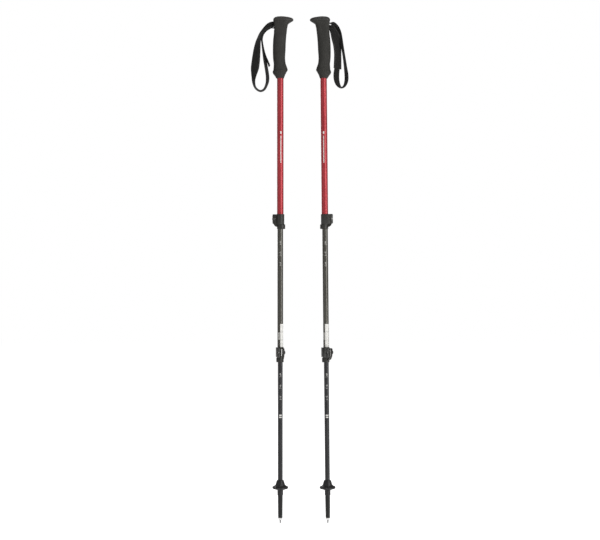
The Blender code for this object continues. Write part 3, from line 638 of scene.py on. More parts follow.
class Paints:
    """Makes each slot's material once and hands it out."""

    def __init__(self) -> None:
        """Start with no material made."""
        self.made: dict[str, bpy.types.Material] = {}

    def of(self, slot: Slot) -> bpy.types.Material:
        """Return a slot's material."""
        return self.named(slot.value, FINISHES[slot])

    def named(self, name: str, finish: object) -> bpy.types.Material:
        """Return the material of a finish under a name."""
        if name not in self.made:
            self.made[name] = finish.material(name)
        return self.made[name]


# --- Making pieces ---

def mesh_object(name: str, shells: list[Shell], place: Placement, sharp: float
                ) -> bpy.types.Object:
    """Put shells into one mesh, whose object sits at the origin.

    Args:
        name: the piece's name.
        shells: its skins, in its own frame.
        place: where that frame is.
        sharp: edges that bend more than this many degrees are sharp.

    Returns:
        The object, in the scene.
    """
    points = place.apply(np.concatenate([shell.points for shell in shells]))
    faces: list[list[int]] = []
    corners: list[Array] = []
    first = 0
    for shell in shells:
        faces += (shell.faces + first).tolist()
        corners.append(shell.corners.reshape(-1, 2))
        for cap in shell.caps:
            faces.append((cap + first).tolist())
            corners.append(shell.points[cap][:, :2])
        first += len(shell.points)
    mesh = bpy.data.meshes.new(name)
    mesh.from_pydata(points.tolist(), [], faces)
    layer = mesh.uv_layers.new(name="skin")
    layer.data.foreach_set("uv", np.concatenate(corners).astype(np.float32).ravel())
    mesh.shade_smooth()
    mesh.set_sharp_from_angle(angle=math.radians(sharp))
    item = bpy.data.objects.new(name, mesh)
    bpy.context.scene.collection.objects.link(item)
    return item


@dataclass
class Workshop:
    """Makes pieces of one pole, parents each to its body's empty and hides the CAD nodes it stands
    for.
    """

    side: str
    paints: Paints

    def add(self, name: str, shells: list[Shell], place: Placement, slot: Slot, body: str,
            *nodes: str, sharp: float = 40.0, root: str = "",
            bend: Array | None = None) -> bpy.types.Object:
        """Add a piece in a slot's finish that rides on a body and stands for CAD nodes.

        With a root body, the piece is baked into the shared frame and rides on no body; the bend's
        two points are placed but not used.
        """
        item = mesh_object(f"{self.side}_{name}", shells, place, sharp)
        item.data.materials.append(self.paints.of(slot))
        if root:
            first, last = place.apply(bend)
            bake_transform(item)
        else:
            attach(item, f"{self.side}_{body}")
        if nodes:
            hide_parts(*(f"{self.side}_{node}" for node in nodes))
        LOG.info("%s: %d faces", item.name, len(item.data.polygons))
        return item

    def keep(self, node: str, slot: Slot) -> None:
        """Give a CAD node that stays its finish."""
        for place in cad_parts[f"{self.side}_{node}"].material_slots:
            place.material = self.paints.of(slot)
        LOG.info("%s_%s: kept", self.side, node)


# --- Shafts and what is printed on them ---

@dataclass(frozen=True)
class Shaft:
    """One tube with a small chamfer at each end."""

    name: str
    radius: float
    bottom: float
    top: float
    slot: Slot
    body: str
    wall: float = 0.8 * MM
    chamfer: float = 0.15 * MM

    def build(self, shop: Workshop, pole: Placement) -> None:
        """Build the tube: an outline of wall and chamfers turned round the axis."""
        inner, outer, c = self.radius - self.wall, self.radius, self.chamfer
        low, high = self.bottom, self.top
        profile = np.array([(inner, low), (outer - c, low), (outer, low + c),
                            (outer, high - c), (outer - c, high), (inner, high)])
        shop.add(f"{self.name}_shaft", [spun(profile, 72)], pole, self.slot, self.body,
                 f"{self.name}_tube")


def printed(radius: float, low_angle: float, high_angle: float, low: float, high: float) -> Shell:
    """Lay a patch of ink on a shaft.

    The patch is a four-cornered section, 0.05 mm proud of the shaft, carried round an arc of it.

    Args:
        radius: the shaft's radius.
        low_angle: where the patch starts, in degrees round the shaft.
        high_angle: where it ends.
        low: its lower edge.
        high: its upper edge.

    Returns:
        The shell.
    """
    steps = max(2, int(abs(high_angle - low_angle) / 5.0))
    a = np.radians(np.linspace(low_angle, high_angle, steps + 1))[:, None]
    r = np.array([[radius - 0.1 * MM, radius + 0.05 * MM, radius + 0.05 * MM, radius - 0.1 * MM]])
    z = np.broadcast_to(np.array([[low, low, high, high]]), (len(a), 4))
    grid = np.stack([r * np.cos(a), r * np.sin(a), z], -1)
    return surface(grid, np.arange(5.0) / 4.0, np.append(a[:, 0], a[0, 0]))


class Stroke(Enum):
    """The seven bars of a plain numeral, as (left, right, bottom, top) shares of its box."""

    TOP = (0.0, 1.0, 0.86, 1.0)
    HIGH_LEFT = (0.0, 0.2, 0.5, 1.0)
    HIGH_RIGHT = (0.8, 1.0, 0.5, 1.0)
    MIDDLE = (0.0, 1.0, 0.43, 0.57)
    LOW_LEFT = (0.0, 0.2, 0.0, 0.5)
    LOW_RIGHT = (0.8, 1.0, 0.0, 0.5)
    BOTTOM = (0.0, 1.0, 0.0, 0.14)


NUMERALS = {
    "0": (Stroke.TOP, Stroke.HIGH_LEFT, Stroke.HIGH_RIGHT, Stroke.LOW_LEFT, Stroke.LOW_RIGHT,
          Stroke.BOTTOM),
    "1": (Stroke.HIGH_RIGHT, Stroke.LOW_RIGHT),
    "2": (Stroke.TOP, Stroke.HIGH_RIGHT, Stroke.MIDDLE, Stroke.LOW_LEFT, Stroke.BOTTOM),
    "5": (Stroke.TOP, Stroke.HIGH_LEFT, Stroke.MIDDLE, Stroke.LOW_RIGHT, Stroke.BOTTOM),
}


@dataclass(frozen=True)
class LengthScale:
    """Length marks on a shaft: a number that reads up the shaft, over a short line."""

    radius: float
    levels: tuple[float, ...]
    labels: tuple[str, ...]
    angle: float = -84.0
    digit_height: float = 3.2 * MM
    digit_width: float = 1.7 * MM
    digit_gap: float = 0.8 * MM
    line_height: float = 0.5 * MM

    def shells(self) -> list[Shell]:
        """Lay down every number and line."""
        made: list[Shell] = []
        degrees = 180.0 / math.pi / self.radius
        half = self.digit_height * degrees / 2.0
        for level, label in zip(self.levels, self.labels):
            made.append(printed(self.radius, self.angle - 1.5 * half, self.angle + 1.5 * half,
                                level - 2.0 * MM, level - 2.0 * MM + self.line_height))
            for index, digit in enumerate(label):
                foot = level + index * (self.digit_width + self.digit_gap)
                for stroke in NUMERALS[digit]:
                    left, right, bottom, top = stroke.value
                    made.append(printed(self.radius,
                                        self.angle + half - 2.0 * half * top,
                                        self.angle + half - 2.0 * half * bottom,
                                        foot + self.digit_width * left,
                                        foot + self.digit_width * right))
        return made


@dataclass(frozen=True)
class PlainPanel:
    """A pale printed block on a shaft, crossed by thin gaps, with no lettering."""

    radius: float
    low: float
    high: float
    start: float
    end: float
    gaps: tuple[float, ...] = ()
    gap_height: float = 0.6 * MM

    def shells(self) -> list[Shell]:
        """Lay down the strips between the gaps."""
        edges = [self.low, *sorted(self.gaps), self.high]
        return [printed(self.radius, self.start, self.end, a + self.gap_height / 2.0,
                        b - self.gap_height / 2.0) for a, b in zip(edges, edges[1:])]


# --- Grip and cap ---

def section_points(columns: Array, heights: Array, slot_half: Array, slot_floor: float,
                   sides: int, slot_sides: int) -> Array:
    """Work out rings of a grip section.

    A ring is centre + half length * c and width * s, where c and s are the cosine and the sine
    raised to 2 / squareness, and the width falls by the narrowing times c squared towards the
    front. The back of a ring that the slot cuts is moved to the slot's floor.

    Args:
        columns: front, back, half width, squareness and narrowing of each ring, in metres.
        heights: each ring's height.
        slot_half: half the slot's width at each ring, or a small number where there is no slot.
        slot_floor: the slot's distance from the axis.
        sides: points round the outside.
        slot_sides: points across the back where the slot may be.

    Returns:
        Points by ring and by place round it.
    """
    front, back, width, square, narrow = (columns[:, k:k + 1] for k in range(5))
    power = 2.0 / square
    edge = math.pi - np.arcsin(np.clip(SLOT_HALF_WIDTH / width, 0.0, 1.0) ** (1.0 / power))
    angle = edge * np.linspace(-1.0, 1.0, sides)[None, :]
    along = np.sign(np.cos(angle)) * np.abs(np.cos(angle)) ** power
    across = np.sign(np.sin(angle)) * np.abs(np.sin(angle)) ** power
    y_back = np.linspace(SLOT_HALF_WIDTH, -SLOT_HALF_WIDTH, slot_sides)[None, :]
    y_back = y_back * np.ones_like(width)
    inset = np.where(slot_half > 0.0, 0.01 * MM, 0.0)
    y_back = y_back - np.sign(y_back) * inset
    along_back = -(1.0 - np.clip(np.abs(y_back) / width, 0.0, 1.0) ** square) ** (1.0 / square)
    centre, half = (front - back) / 2.0, (front + back) / 2.0
    x_back = centre + half * along_back
    x_back = np.where(slot_half > 0.0, -slot_floor, x_back)
    x = np.concatenate([centre + half * along, x_back], 1)
    taper = 1.0 - narrow * np.maximum(along, 0.0) ** 2
    y = np.concatenate([width * taper * across, y_back], 1)
    z = np.broadcast_to(heights[:, None], x.shape)
    return np.stack([x, y, z], -1)


@dataclass(frozen=True)
class Grip:
    """The foam grip with its bore and strap slot, and the cap on top of it.

    A section is a share of the height, front, back and half width in mm, squareness and
    narrowing.
    """

    bottom: float = 1098.0 * MM
    length: float = 141.3 * MM
    bore: float = 8.3 * MM
    slot_floor: float = 9.3 * MM
    slot_bottom: float = 1216.0 * MM
    cap_height: float = 10.4 * MM
    spigot: float = 6.9 * MM
    spigot_length: float = 24.3 * MM
    sides: int = 112
    slot_sides: int = 16
    sections: Table = (
        (0.000, 8.9, 10.0, 9.3, 2.0, 0.0), (0.040, 10.9, 13.3, 11.5, 2.1, 0.0),
        (0.076, 13.1, 17.3, 13.2, 2.2, 0.0), (0.111, 15.6, 18.9, 14.0, 2.2, 0.0),
        (0.146, 18.4, 17.3, 13.8, 2.2, 0.1), (0.182, 17.2, 16.8, 13.3, 2.2, 0.1),
        (0.251, 13.6, 16.3, 12.8, 2.2, 0.0), (0.321, 12.2, 17.5, 13.0, 2.2, 0.0),
        (0.495, 13.0, 18.4, 13.6, 2.2, 0.0), (0.670, 14.1, 17.6, 13.4, 2.4, 0.0),
        (0.800, 15.8, 15.8, 13.1, 3.2, 0.0), (0.915, 18.2, 16.2, 13.4, 4.0, 0.1),
        (0.955, 20.2, 16.7, 13.7, 4.0, 0.2), (0.980, 25.5, 17.1, 14.0, 4.0, 0.3),
        (1.000, 30.3, 17.3, 14.2, 4.0, 0.4))
    cap_sections: Table = (
        (0.00, 31.0, 17.3, 14.2, 4.0, 0.4), (0.12, 32.0, 17.6, 14.4, 3.8, 0.4),
        (0.30, 32.4, 17.5, 14.4, 3.6, 0.4), (0.55, 30.8, 16.6, 13.8, 3.2, 0.4),
        (0.78, 26.0, 14.4, 12.2, 2.8, 0.4), (0.93, 19.0, 11.2, 9.6, 2.5, 0.3),
        (1.00, 12.0, 8.0, 7.2, 2.3, 0.2), (1.03, 4.0, 3.0, 2.8, 2.0, 0.0))

    def table(self, rows: Table, shares: Array) -> Array:
        """Read smooth section sizes at shares of the height, in metres."""
        data = np.array(rows)
        read = hermite(data[:, 0], data[:, 1:], shares)
        read[:, :3] *= MM
        read[:, 3] = np.maximum(read[:, 3], 2.0)
        return read

    def grip_shell(self) -> Shell:
        """Loft the foam: outside rings, then the bore's two rings, closed in a loop.

        Three shallow rings are pressed into the flare at the bottom; each takes up to 0.35 mm
        off the section along a bell curve of the height.
        """
        edge = (self.slot_bottom - self.bottom) / self.length
        shares = np.sort(np.append(np.linspace(0.0, 1.0, 190), [edge - 1e-4, edge + 1e-4]))
        columns = self.table(self.sections, shares)
        for groove in (0.060, 0.150, 0.178):
            columns[:, :3] -= (0.35 * MM * np.exp(-((shares - groove) / 0.0045) ** 2))[:, None]
        heights = self.bottom + shares * self.length
        slotted = np.where(heights > self.slot_bottom, 1.0, 0.0)[:, None]
        outside = section_points(columns, heights, slotted, self.slot_floor, self.sides,
                                 self.slot_sides)
        inside = outside[[-1, 0]].copy()
        angle = np.arctan2(outside[0, :, 1], outside[0, :, 0])
        inside[:, :, 0] = self.bore * np.cos(angle)
        inside[:, :, 1] = self.bore * np.sin(angle)
        grid = np.concatenate([outside, inside])
        around = np.arange(grid.shape[1] + 1) / grid.shape[1]
        return surface(grid, around, np.append(grid[:, 0, 2], grid[0, 0, 2]), wrap=True)

    def cap_shell(self) -> Shell:
        """Loft the cap over its spigot, with a low dome that closes on a small flat."""
        seat = self.bottom + self.length + 0.3 * MM
        shares = np.linspace(0.0, 1.03, 60)
        shares = 1.03 * np.sin(shares / 1.03 * math.pi / 2.0)
        heights = seat + np.minimum(shares, 1.0 + (shares - 1.0) * 0.6) * self.cap_height
        over = section_points(self.table(self.cap_sections, shares), heights,
                              np.zeros((len(shares), 1)), 0.0, self.sides, self.slot_sides)
        angle = np.arctan2(over[0, :, 1], over[0, :, 0])
        round_part = np.stack([self.spigot * np.cos(angle), self.spigot * np.sin(angle)], -1)
        levels = (seat - self.spigot_length, seat - 0.3 * MM, seat)
        rings = [np.concatenate([round_part, np.full((len(angle), 1), level)], 1)
                 for level in levels]
        grid = np.concatenate([np.stack(rings), over])
        around = np.arange(grid.shape[1] + 1) / grid.shape[1]
        return surface(grid, around, np.append(grid[:, 0, 2], grid[0, 0, 2]))

    def build(self, shop: Workshop, hand: Placement) -> None:
        """Build the grip and the cap."""
        shop.add("foam_grip", [self.grip_shell()], hand, Slot.GRIP, "pole_upper", "grip",
                 sharp=50.0)
        shop.add("top_cap", [self.cap_shell()], hand, Slot.CAP, "pole_upper", "grip_cap",
                 sharp=50.0)
        shop.keep("strap_pin", Slot.STEEL)
        shop.keep("strap_wedge", Slot.BLACK)


# --- Strap ---

@dataclass(frozen=True)
class Ribbon:
    """A flat strap along points of (outwards, up, towards the near side, turn) in mm and degrees.

    The centre line is a smooth cubic through the points. The section is a flat rounded bar
    whose broad direction is turned from the near side into the plane of the loop. Its width
    starts at a narrow share of the full width and grows to it over the narrow length, and falls
    to the end share over the end length.
    """

    points: Array
    width: float
    thickness: float
    near: float
    swell: float = 0.0
    narrow: float = 1.0
    narrow_length: float = 42.0 * MM
    end_share: float = 1.0
    end_length: float = 30.0 * MM
    steps: int = 10
    ring: int = 44

    def route(self) -> Array:
        """Read the centre line and the turn by a cubic through each four points in a row."""
        p = self.points
        knots = np.concatenate([2.0 * p[:1] - p[1:2], p, 2.0 * p[-1:] - p[-2:-1]])
        a, b, c, d = (knots[k:len(knots) - 3 + k, None] for k in range(4))
        t = (np.arange(self.steps) / self.steps)[None, :, None]
        curve = 0.5 * (2.0 * b + (c - a) * t + (2.0 * a - 5.0 * b + 4.0 * c - d) * t ** 2
                       + (3.0 * b - a - 3.0 * c + d) * t ** 3)
        return np.concatenate([curve.reshape(-1, 4), p[-1:]])

    def section(self) -> Array:
        """Give the section: (broad, thin) shares of a bar with full, rounded edges."""
        a = TURN * (np.arange(self.ring) + 0.5) / self.ring
        broad = np.sign(np.cos(a)) * np.abs(np.cos(a)) ** 0.30
        thin = np.sign(np.sin(a)) * np.abs(np.sin(a)) ** 0.55
        return np.stack([broad, thin], -1)

    def shell(self) -> Shell:
        """Carry the section along the centre line.

        A ring's points are centre + broad width / 2 + thin thickness / 2. The thin part swells
        in the middle of the strap by the swell, so a padded strap is crowned.
        """
        route = self.route()
        centre = np.stack([-route[:, 0], self.near * route[:, 2], route[:, 1]], -1) * MM
        turn = np.radians(route[:, 3])[:, None]
        run = np.gradient(centre, axis=0)
        run /= np.linalg.norm(run, axis=1, keepdims=True)
        inwards = np.stack([-run[:, 2], np.zeros(len(run)), run[:, 0]], -1)
        inwards /= np.linalg.norm(inwards, axis=1, keepdims=True)
        broad = np.array([[0.0, self.near, 0.0]]) * np.cos(turn) + inwards * np.sin(turn)
        broad -= run * np.sum(broad * run, axis=1, keepdims=True)
        broad /= np.linalg.norm(broad, axis=1, keepdims=True)
        thin = np.cross(run, broad)
        shape = self.section()
        crown = 1.0 - self.swell * np.abs(shape[:, :1]) ** 4
        legs = np.linalg.norm(np.diff(centre, axis=0), axis=1)
        along = np.concatenate([[0.0], np.cumsum(legs), [0.0]])
        grown = smooth_step(0.0, self.narrow_length, along[:-1])[:, None, None]
        closed = smooth_step(along[-2] - self.end_length, along[-2], along[:-1])[:, None, None]
        width = self.width * (self.narrow + (1.0 - self.narrow) * grown)
        width = width * (1.0 - (1.0 - self.end_share) * closed)
        grid = (centre[:, None] + broad[:, None] * shape[None, :, :1] * width / 2.0
                + thin[:, None] * (shape[:, 1:] * crown)[None] * self.thickness / 2.0)
        return surface(grid, np.append(shape[:, 0], shape[0, 0]) * self.width / 2.0, along)


@dataclass(frozen=True)
class WristStrap:
    """The wrist strap: a wide band, the webbing that closes the loop and the free tail."""

    band: Table
    webbing: Table
    webbing_end: Table
    tail: Table
    near: float
    eye_from: float
    eye_to: float
    end_share: float = 1.0
    eye: float = 2.6
    band_width: float = BAND_WIDTH
    band_thickness: float = 3.0 * MM
    webbing_width: float = WEBBING_WIDTH
    webbing_thickness: float = 1.6 * MM

    def loop(self) -> Array:
        """Join the webbing, its turn round the pin and its end."""
        turn = arc(self.eye, self.eye_from, self.eye_to, 6)
        flat = np.zeros((len(turn), 2))
        round_pin = np.concatenate([turn * np.array([[-1.0, 1.0]]), flat], 1)
        return np.concatenate([np.array(self.webbing), round_pin, np.array(self.webbing_end)])

    def build(self, shop: Workshop, swing: Placement) -> None:
        """Build the three straps, placed in the swing's frame."""
        band = Ribbon(np.array(self.band), self.band_width, self.band_thickness, self.near, 0.45,
                      narrow=0.60, end_share=self.end_share)
        webbing = Ribbon(self.loop(), self.webbing_width, self.webbing_thickness, self.near)
        tail = Ribbon(np.array(self.tail), self.webbing_width, self.webbing_thickness, self.near)
        bend = np.array([(-5.0, 0.0, 0.0), (-18.0, 0.0, -6.0)]) * MM
        for name, ribbon, slot, node in (("wide_band", band, Slot.BAND, "strap_band"),
                                         ("loop_webbing", webbing, Slot.WEBBING, "strap_webbing"),
                                         ("free_tail", tail, Slot.WEBBING, "strap_tail")):
            shop.add(name, [ribbon.shell()], swing, slot, "wrist_strap", node, sharp=60.0,
                     root="pole_upper", bend=bend)


# --- Clamps ---

@dataclass(frozen=True)
class Clamp:
    """A cam-lever clamp, in a frame whose X axis points to the lever's pivot."""

    level: str
    body: str
    cam_body: str
    screw_body: str
    bore: float
    seat: float
    wall: float
    height: float = 36.5 * MM
    foot_height: float = 11.0 * MM
    foot_wall: float = 2.9 * MM
    foot_offset: float = 2.0 * MM
    slit: float = 1.8 * MM
    front_ear: float = 4.4 * MM
    back_ear: float = -3.6 * MM
    lever_low: float = 13.0 * MM
    lever_thickness: float = 2.0 * MM
    cam_radius: float = 4.2 * MM
    cam_axis: float = -10.0 * MM
    cam_lift: float = 0.4 * MM
    fork: float = 5.0 * MM
    pin_radius: float = 2.4 * MM
    screw_radius: float = 1.5 * MM
    head_radius: float = 3.2 * MM

    @property
    def pivot(self) -> float:
        """Distance from the shaft's axis to the pin's."""
        return self.wall + 5.4 * MM

    @property
    def middle(self) -> float:
        """Height of the screw's axis."""
        return (self.lever_low + self.height) / 2.0

    def foot(self) -> Shell:
        """Turn the foot ring, whose hole is on the shaft's axis and whose outside is set back.

        Each row lies a share of the way from the hole's circle to the outer circle.
        """
        a = TURN * np.arange(72) / 72
        direction = np.stack([np.cos(a), np.sin(a)], -1)
        hole = self.bore * direction
        outer = (self.bore + self.foot_wall) * direction - np.array([[self.foot_offset, 0.0]])
        t = np.linspace(0.0, math.pi / 2.0, 5)
        edge = 0.9 * MM
        inset = np.concatenate([edge * (1.0 - np.sin(t)), edge * (1.0 - np.sin(t[::-1]))])
        level = np.concatenate([edge * (1.0 - np.cos(t)),
                                self.foot_height + 0.3 * MM - edge * (1.0 - np.cos(t[::-1]))])
        rows = [np.concatenate([hole, np.full((72, 1), level[0])], 1)]
        rows += [np.concatenate([outer - direction * d, np.full((72, 1), z)], 1)
                 for d, z in zip(inset, level)]
        rows.append(np.concatenate([hole, np.full((72, 1), level[-1])], 1))
        grid = np.stack(rows)
        return surface(grid, np.arange(73) / 72.0, np.append(grid[:, 0, 2], 0.0), wrap=True)

    def ring(self) -> Shell:
        """Carry the wall's rounded section round the shaft, from one side of the slit to the other.

        The slit's sides are parallel, so a point at a radius r starts at the angle whose sine is
        half the slit over r.
        """
        low, high, lip = 0.25 * MM, 0.7 * MM, 0.3 * MM
        section = np.concatenate([
            arc(low, -90.0, 0.0, 3, (self.wall - low, self.foot_height + low)),
            arc(high, 0.0, 90.0, 5, (self.wall - high, self.height - high)),
            arc(lip, 90.0, 180.0, 3, (self.seat + lip, self.height - lip)),
            np.array([[self.seat, self.foot_height]])])
        start = np.arcsin(self.slit / 2.0 / section[:, 0])
        share = np.linspace(0.0, 1.0, 89)[:, None]
        a = start + share * (TURN - 2.0 * start)
        height = np.broadcast_to(section[:, 1], a.shape)
        grid = np.stack([section[:, 0] * np.cos(a), section[:, 0] * np.sin(a), height], -1)
        round_section = np.arange(len(section) + 1.0) * MM
        return surface(grid, round_section, np.append(share[:, 0], 0.0) * TURN * self.wall)

    def ear(self, near: float, far: float) -> Shell:
        """Raise one ear: a lobe with a flat top that curves back under to the foot."""
        reach = self.pivot + 3.9 * MM
        top = self.height - 1.6 * MM
        root = self.seat + 0.25 * MM
        corner = 3.4 * MM
        crest = arc(corner, 90.0, 0.0, 8, (reach - corner, top - corner))
        side = self.middle + 0.5 * MM
        a = np.linspace(0.0, math.pi / 2.0, 15)
        under = np.stack([root - 1.2 * MM + (reach - root + 1.2 * MM) * np.cos(a) ** 0.82,
                          side - (side - 5.2 * MM) * np.sin(a) ** 1.05], -1)
        outline = np.concatenate([np.array([[root, top]]), crest, under,
                                  np.array([[root - 1.2 * MM, 8.0 * MM], [root, 11.6 * MM]])])
        return moved(raised(outline, near, far, 0.3 * MM, 0.8 * MM), ACROSS, (0.0, 0.0, 0.0))

    def boss(self) -> Shell:
        """Turn the raised rim round the screw's head."""
        profile = np.array([(3.55, 4.2), (4.9, 4.2), (4.9, 5.2), (4.7, 5.65), (4.3, 5.8),
                            (3.85, 5.7), (3.55, 5.4)]) * MM
        return self.across(spun(profile, 40))

    def across(self, shell: Shell) -> Shell:
        """Turn a shell's Z axis along the screw and move it there."""
        return moved(shell, ACROSS, (self.pivot, 0.0, self.middle))

    def blade(self) -> Shell:
        """Raise the lever's blade.

        Its inner face follows the collar. Its outer face stands off by the thickness, more at
        the free end, where a lip gives the finger a hold, and runs out flat to the cam.
        """
        inner = self.wall + 0.3 * MM
        a = np.linspace(-138.0, -78.0, 30)
        lip = 1.1 * MM * smooth_step(-128.0, -138.0, a)
        hollow = 0.5 * MM * smooth_step(-122.0, -112.0, a) * smooth_step(-96.0, -106.0, a)
        r = inner + self.lever_thickness + lip - hollow
        outer = np.stack([r * np.cos(np.radians(a)), r * np.sin(np.radians(a))], -1)
        out_end = np.array([[self.pivot - 3.4 * MM, self.cam_axis + self.cam_lift - 3.9 * MM]])
        in_end = np.array([[self.pivot - 3.4 * MM, self.cam_axis + self.cam_lift + 2.2 * MM]])
        inside = arc(inner, -50.0, -138.0, 26)
        outline = np.concatenate([outer, out_end, in_end, inside])
        return raised(outline, self.lever_low, self.height, 0.6 * MM, 0.6 * MM)

    def lobe(self, low: float, high: float, low_edge: float, high_edge: float) -> Shell:
        """Raise one side of the forked cam, with its root inside the blade."""
        centre = (self.pivot, self.cam_axis + self.cam_lift)
        round_part = arc(self.cam_radius, -108.0, 128.0, 30, centre)
        root = np.array([[self.pivot - 4.6 * MM, self.cam_axis + self.cam_lift + 2.3 * MM],
                         [self.pivot - 4.6 * MM, self.cam_axis + self.cam_lift - 3.3 * MM]])
        return raised(np.concatenate([round_part, root]), low, high, low_edge, high_edge)

    def screw(self) -> Shell:
        """Turn the tension screw, with a six-sided socket in its head.

        A six-sided ring's radius is the flat's distance over cos of the angle to the flat.
        """
        end = self.cam_axis - 1.0 * MM
        head, top = 4.7 * MM, 7.1 * MM
        r, big, socket = self.screw_radius, self.head_radius, 1.3 * MM
        profile = np.array([(0.9 * MM, end), (r, end + 0.5 * MM), (r, head), (big, head),
                            (big, top - 0.6 * MM), (big - 0.25 * MM, top - 0.15 * MM),
                            (big - 0.7 * MM, top), (socket + 0.15 * MM, top),
                            (socket, top - 0.2 * MM), (socket, top - 1.5 * MM)])
        sides = 48
        a = TURN * np.arange(sides) / sides
        hexagon = 1.0 / np.cos(np.mod(a, TURN / 6.0) - TURN / 12.0)
        wave = np.ones((len(profile), sides))
        wave[-3:] = hexagon
        return self.across(spun(profile, sides, wave, wrap=False))

    def pin(self) -> Shell:
        """Turn the barrel pin, with chamfered ends that show at both sides of the lever."""
        r, proud, c = self.pin_radius, 0.2 * MM, 0.4 * MM
        low, high = self.lever_low - proud, self.height + proud
        profile = np.array([(r - c, low), (r, low + c), (r, high - c), (r - c, high)])
        return moved(spun(profile, 40, wrap=False), np.eye(3), (self.pivot, self.cam_axis, 0.0))

    def plate(self) -> Shell:
        """Raise the plate that the cam runs on, a rounded rectangle."""
        half, low, high, c = 4.5 * MM, 16.0 * MM, 33.5 * MM, 1.2 * MM
        corners = [arc(c, 0.0, 90.0, 5, (half - c, high - c)),
                   arc(c, 90.0, 180.0, 5, (c - half, high - c)),
                   arc(c, 180.0, 270.0, 5, (c - half, low + c)),
                   arc(c, 270.0, 360.0, 5, (half - c, low + c))]
        flat = raised(np.concatenate(corners), -5.1 * MM, -3.9 * MM, 0.2 * MM, 0.2 * MM)
        return moved(flat, ACROSS, (self.pivot, 0.0, 0.0))

    def build(self, shop: Workshop, place: Placement) -> None:
        """Build the collar, lever, screw, pin and plate."""
        half_slit = self.slit / 2.0
        collar = [self.foot(), self.ring(), self.ear(half_slit, self.front_ear),
                  self.ear(-half_slit, self.back_ear), self.boss()]
        shop.add(f"{self.level}_clamp_collar", collar, place, Slot.CLAMP, self.body,
                 f"{self.level}_collar")
        half_fork = self.fork / 2.0
        lever = [self.blade(),
                 self.lobe(self.lever_low, self.middle - half_fork, 1.6 * MM, 0.4 * MM),
                 self.lobe(self.middle + half_fork, self.height, 0.4 * MM, 1.6 * MM)]
        shop.add(f"{self.level}_cam_lever", lever, place, Slot.LEVER, self.cam_body,
                 f"{self.level}_lever")
        shop.add(f"{self.level}_socket_screw", [self.screw()], place, Slot.STEEL, self.screw_body,
                 f"{self.level}_tension_screw")
        shop.add(f"{self.level}_lever_pin", [self.pin()], place, Slot.STEEL, self.body,
                 f"{self.level}_barrel_pin")
        shop.add(f"{self.level}_pressure_plate", [self.plate()], place, Slot.PLATE, self.body,
                 f"{self.level}_cam_plate")


# --- Basket, ferrule and tip ---

@dataclass(frozen=True)
class Basket:
    """The small trail basket: a neck, a ribbed and notched disc and a conical hub."""

    ribs: int = 8
    sides: int = 192
    rim_height: float = 87.75 * MM
    disc_bottom: float = 80.5 * MM
    disc_top: float = 96.0 * MM
    outline: tuple[tuple[float, float], ...] = (
        (6.35, 69.5), (7.0, 69.5), (7.15, 69.9), (7.15, 79.7), (7.6, 81.1), (10.2, 82.3),
        (13.6, 83.5), (16.8, 84.5), (18.4, 85.1), (19.3, 85.9), (19.8, 87.1), (19.8, 88.4),
        (19.3, 89.5), (18.4, 90.2), (17.4, 90.4), (16.6, 90.6), (14.4, 92.1), (12.5, 93.9),
        (11.7, 95.1), (10.8, 98.0), (9.7, 101.7), (8.7, 104.7), (8.3, 105.3), (7.9, 105.5),
        (6.35, 105.5))

    def shell(self) -> Shell:
        """Turn the outline, notch its rim and press pockets between the ribs.

        The rim's radius falls by 5% along a narrow bell at each notch. Between two ribs the
        disc's upper and lower faces move towards each other along a raised cosine.
        """
        profile = np.array(self.outline) * MM
        dense = np.linspace(0.0, 1.0, 4 * len(profile) - 3)
        profile = hermite(np.linspace(0.0, 1.0, len(profile)), profile, dense)
        a = TURN * np.arange(self.sides) / self.sides
        swing = 0.5 + 0.5 * np.cos(a * self.ribs)
        r = profile[:, :1] / MM
        rim = smooth_step(15.5, 19.0, r)
        wave = 1.0 - 0.055 * rim * np.exp(-((1.0 - swing) / 0.22) ** 2)
        shell = spun(profile, self.sides, wave)
        grid = shell.points.reshape(len(profile), self.sides, 3).copy()
        belt = smooth_step(9.5, 11.5, r) * (1.0 - smooth_step(16.6, 17.8, r))
        pocket = belt * smooth_step(0.12, 0.45, 1.0 - np.abs(np.cos(a * self.ribs / 2.0)) ** 6)
        upper = profile[:, 1:] > self.rim_height
        flat = (profile[:, 1:] < self.disc_top) & (profile[:, 1:] > self.disc_bottom)
        depth = np.where(upper, -1.7 * MM, 0.9 * MM) * flat * pocket
        grid[:, :, 2] += depth
        return surface(grid, np.arange(self.sides + 1) / self.sides,
                       np.append(profile[:, 1], profile[0, 1]), wrap=True)

    def build(self, shop: Workshop, pole: Placement) -> None:
        """Build the basket."""
        shop.add("trail_basket", [self.shell()], pole, Slot.BASKET, "pole_lower", "basket",
                 sharp=48.0)


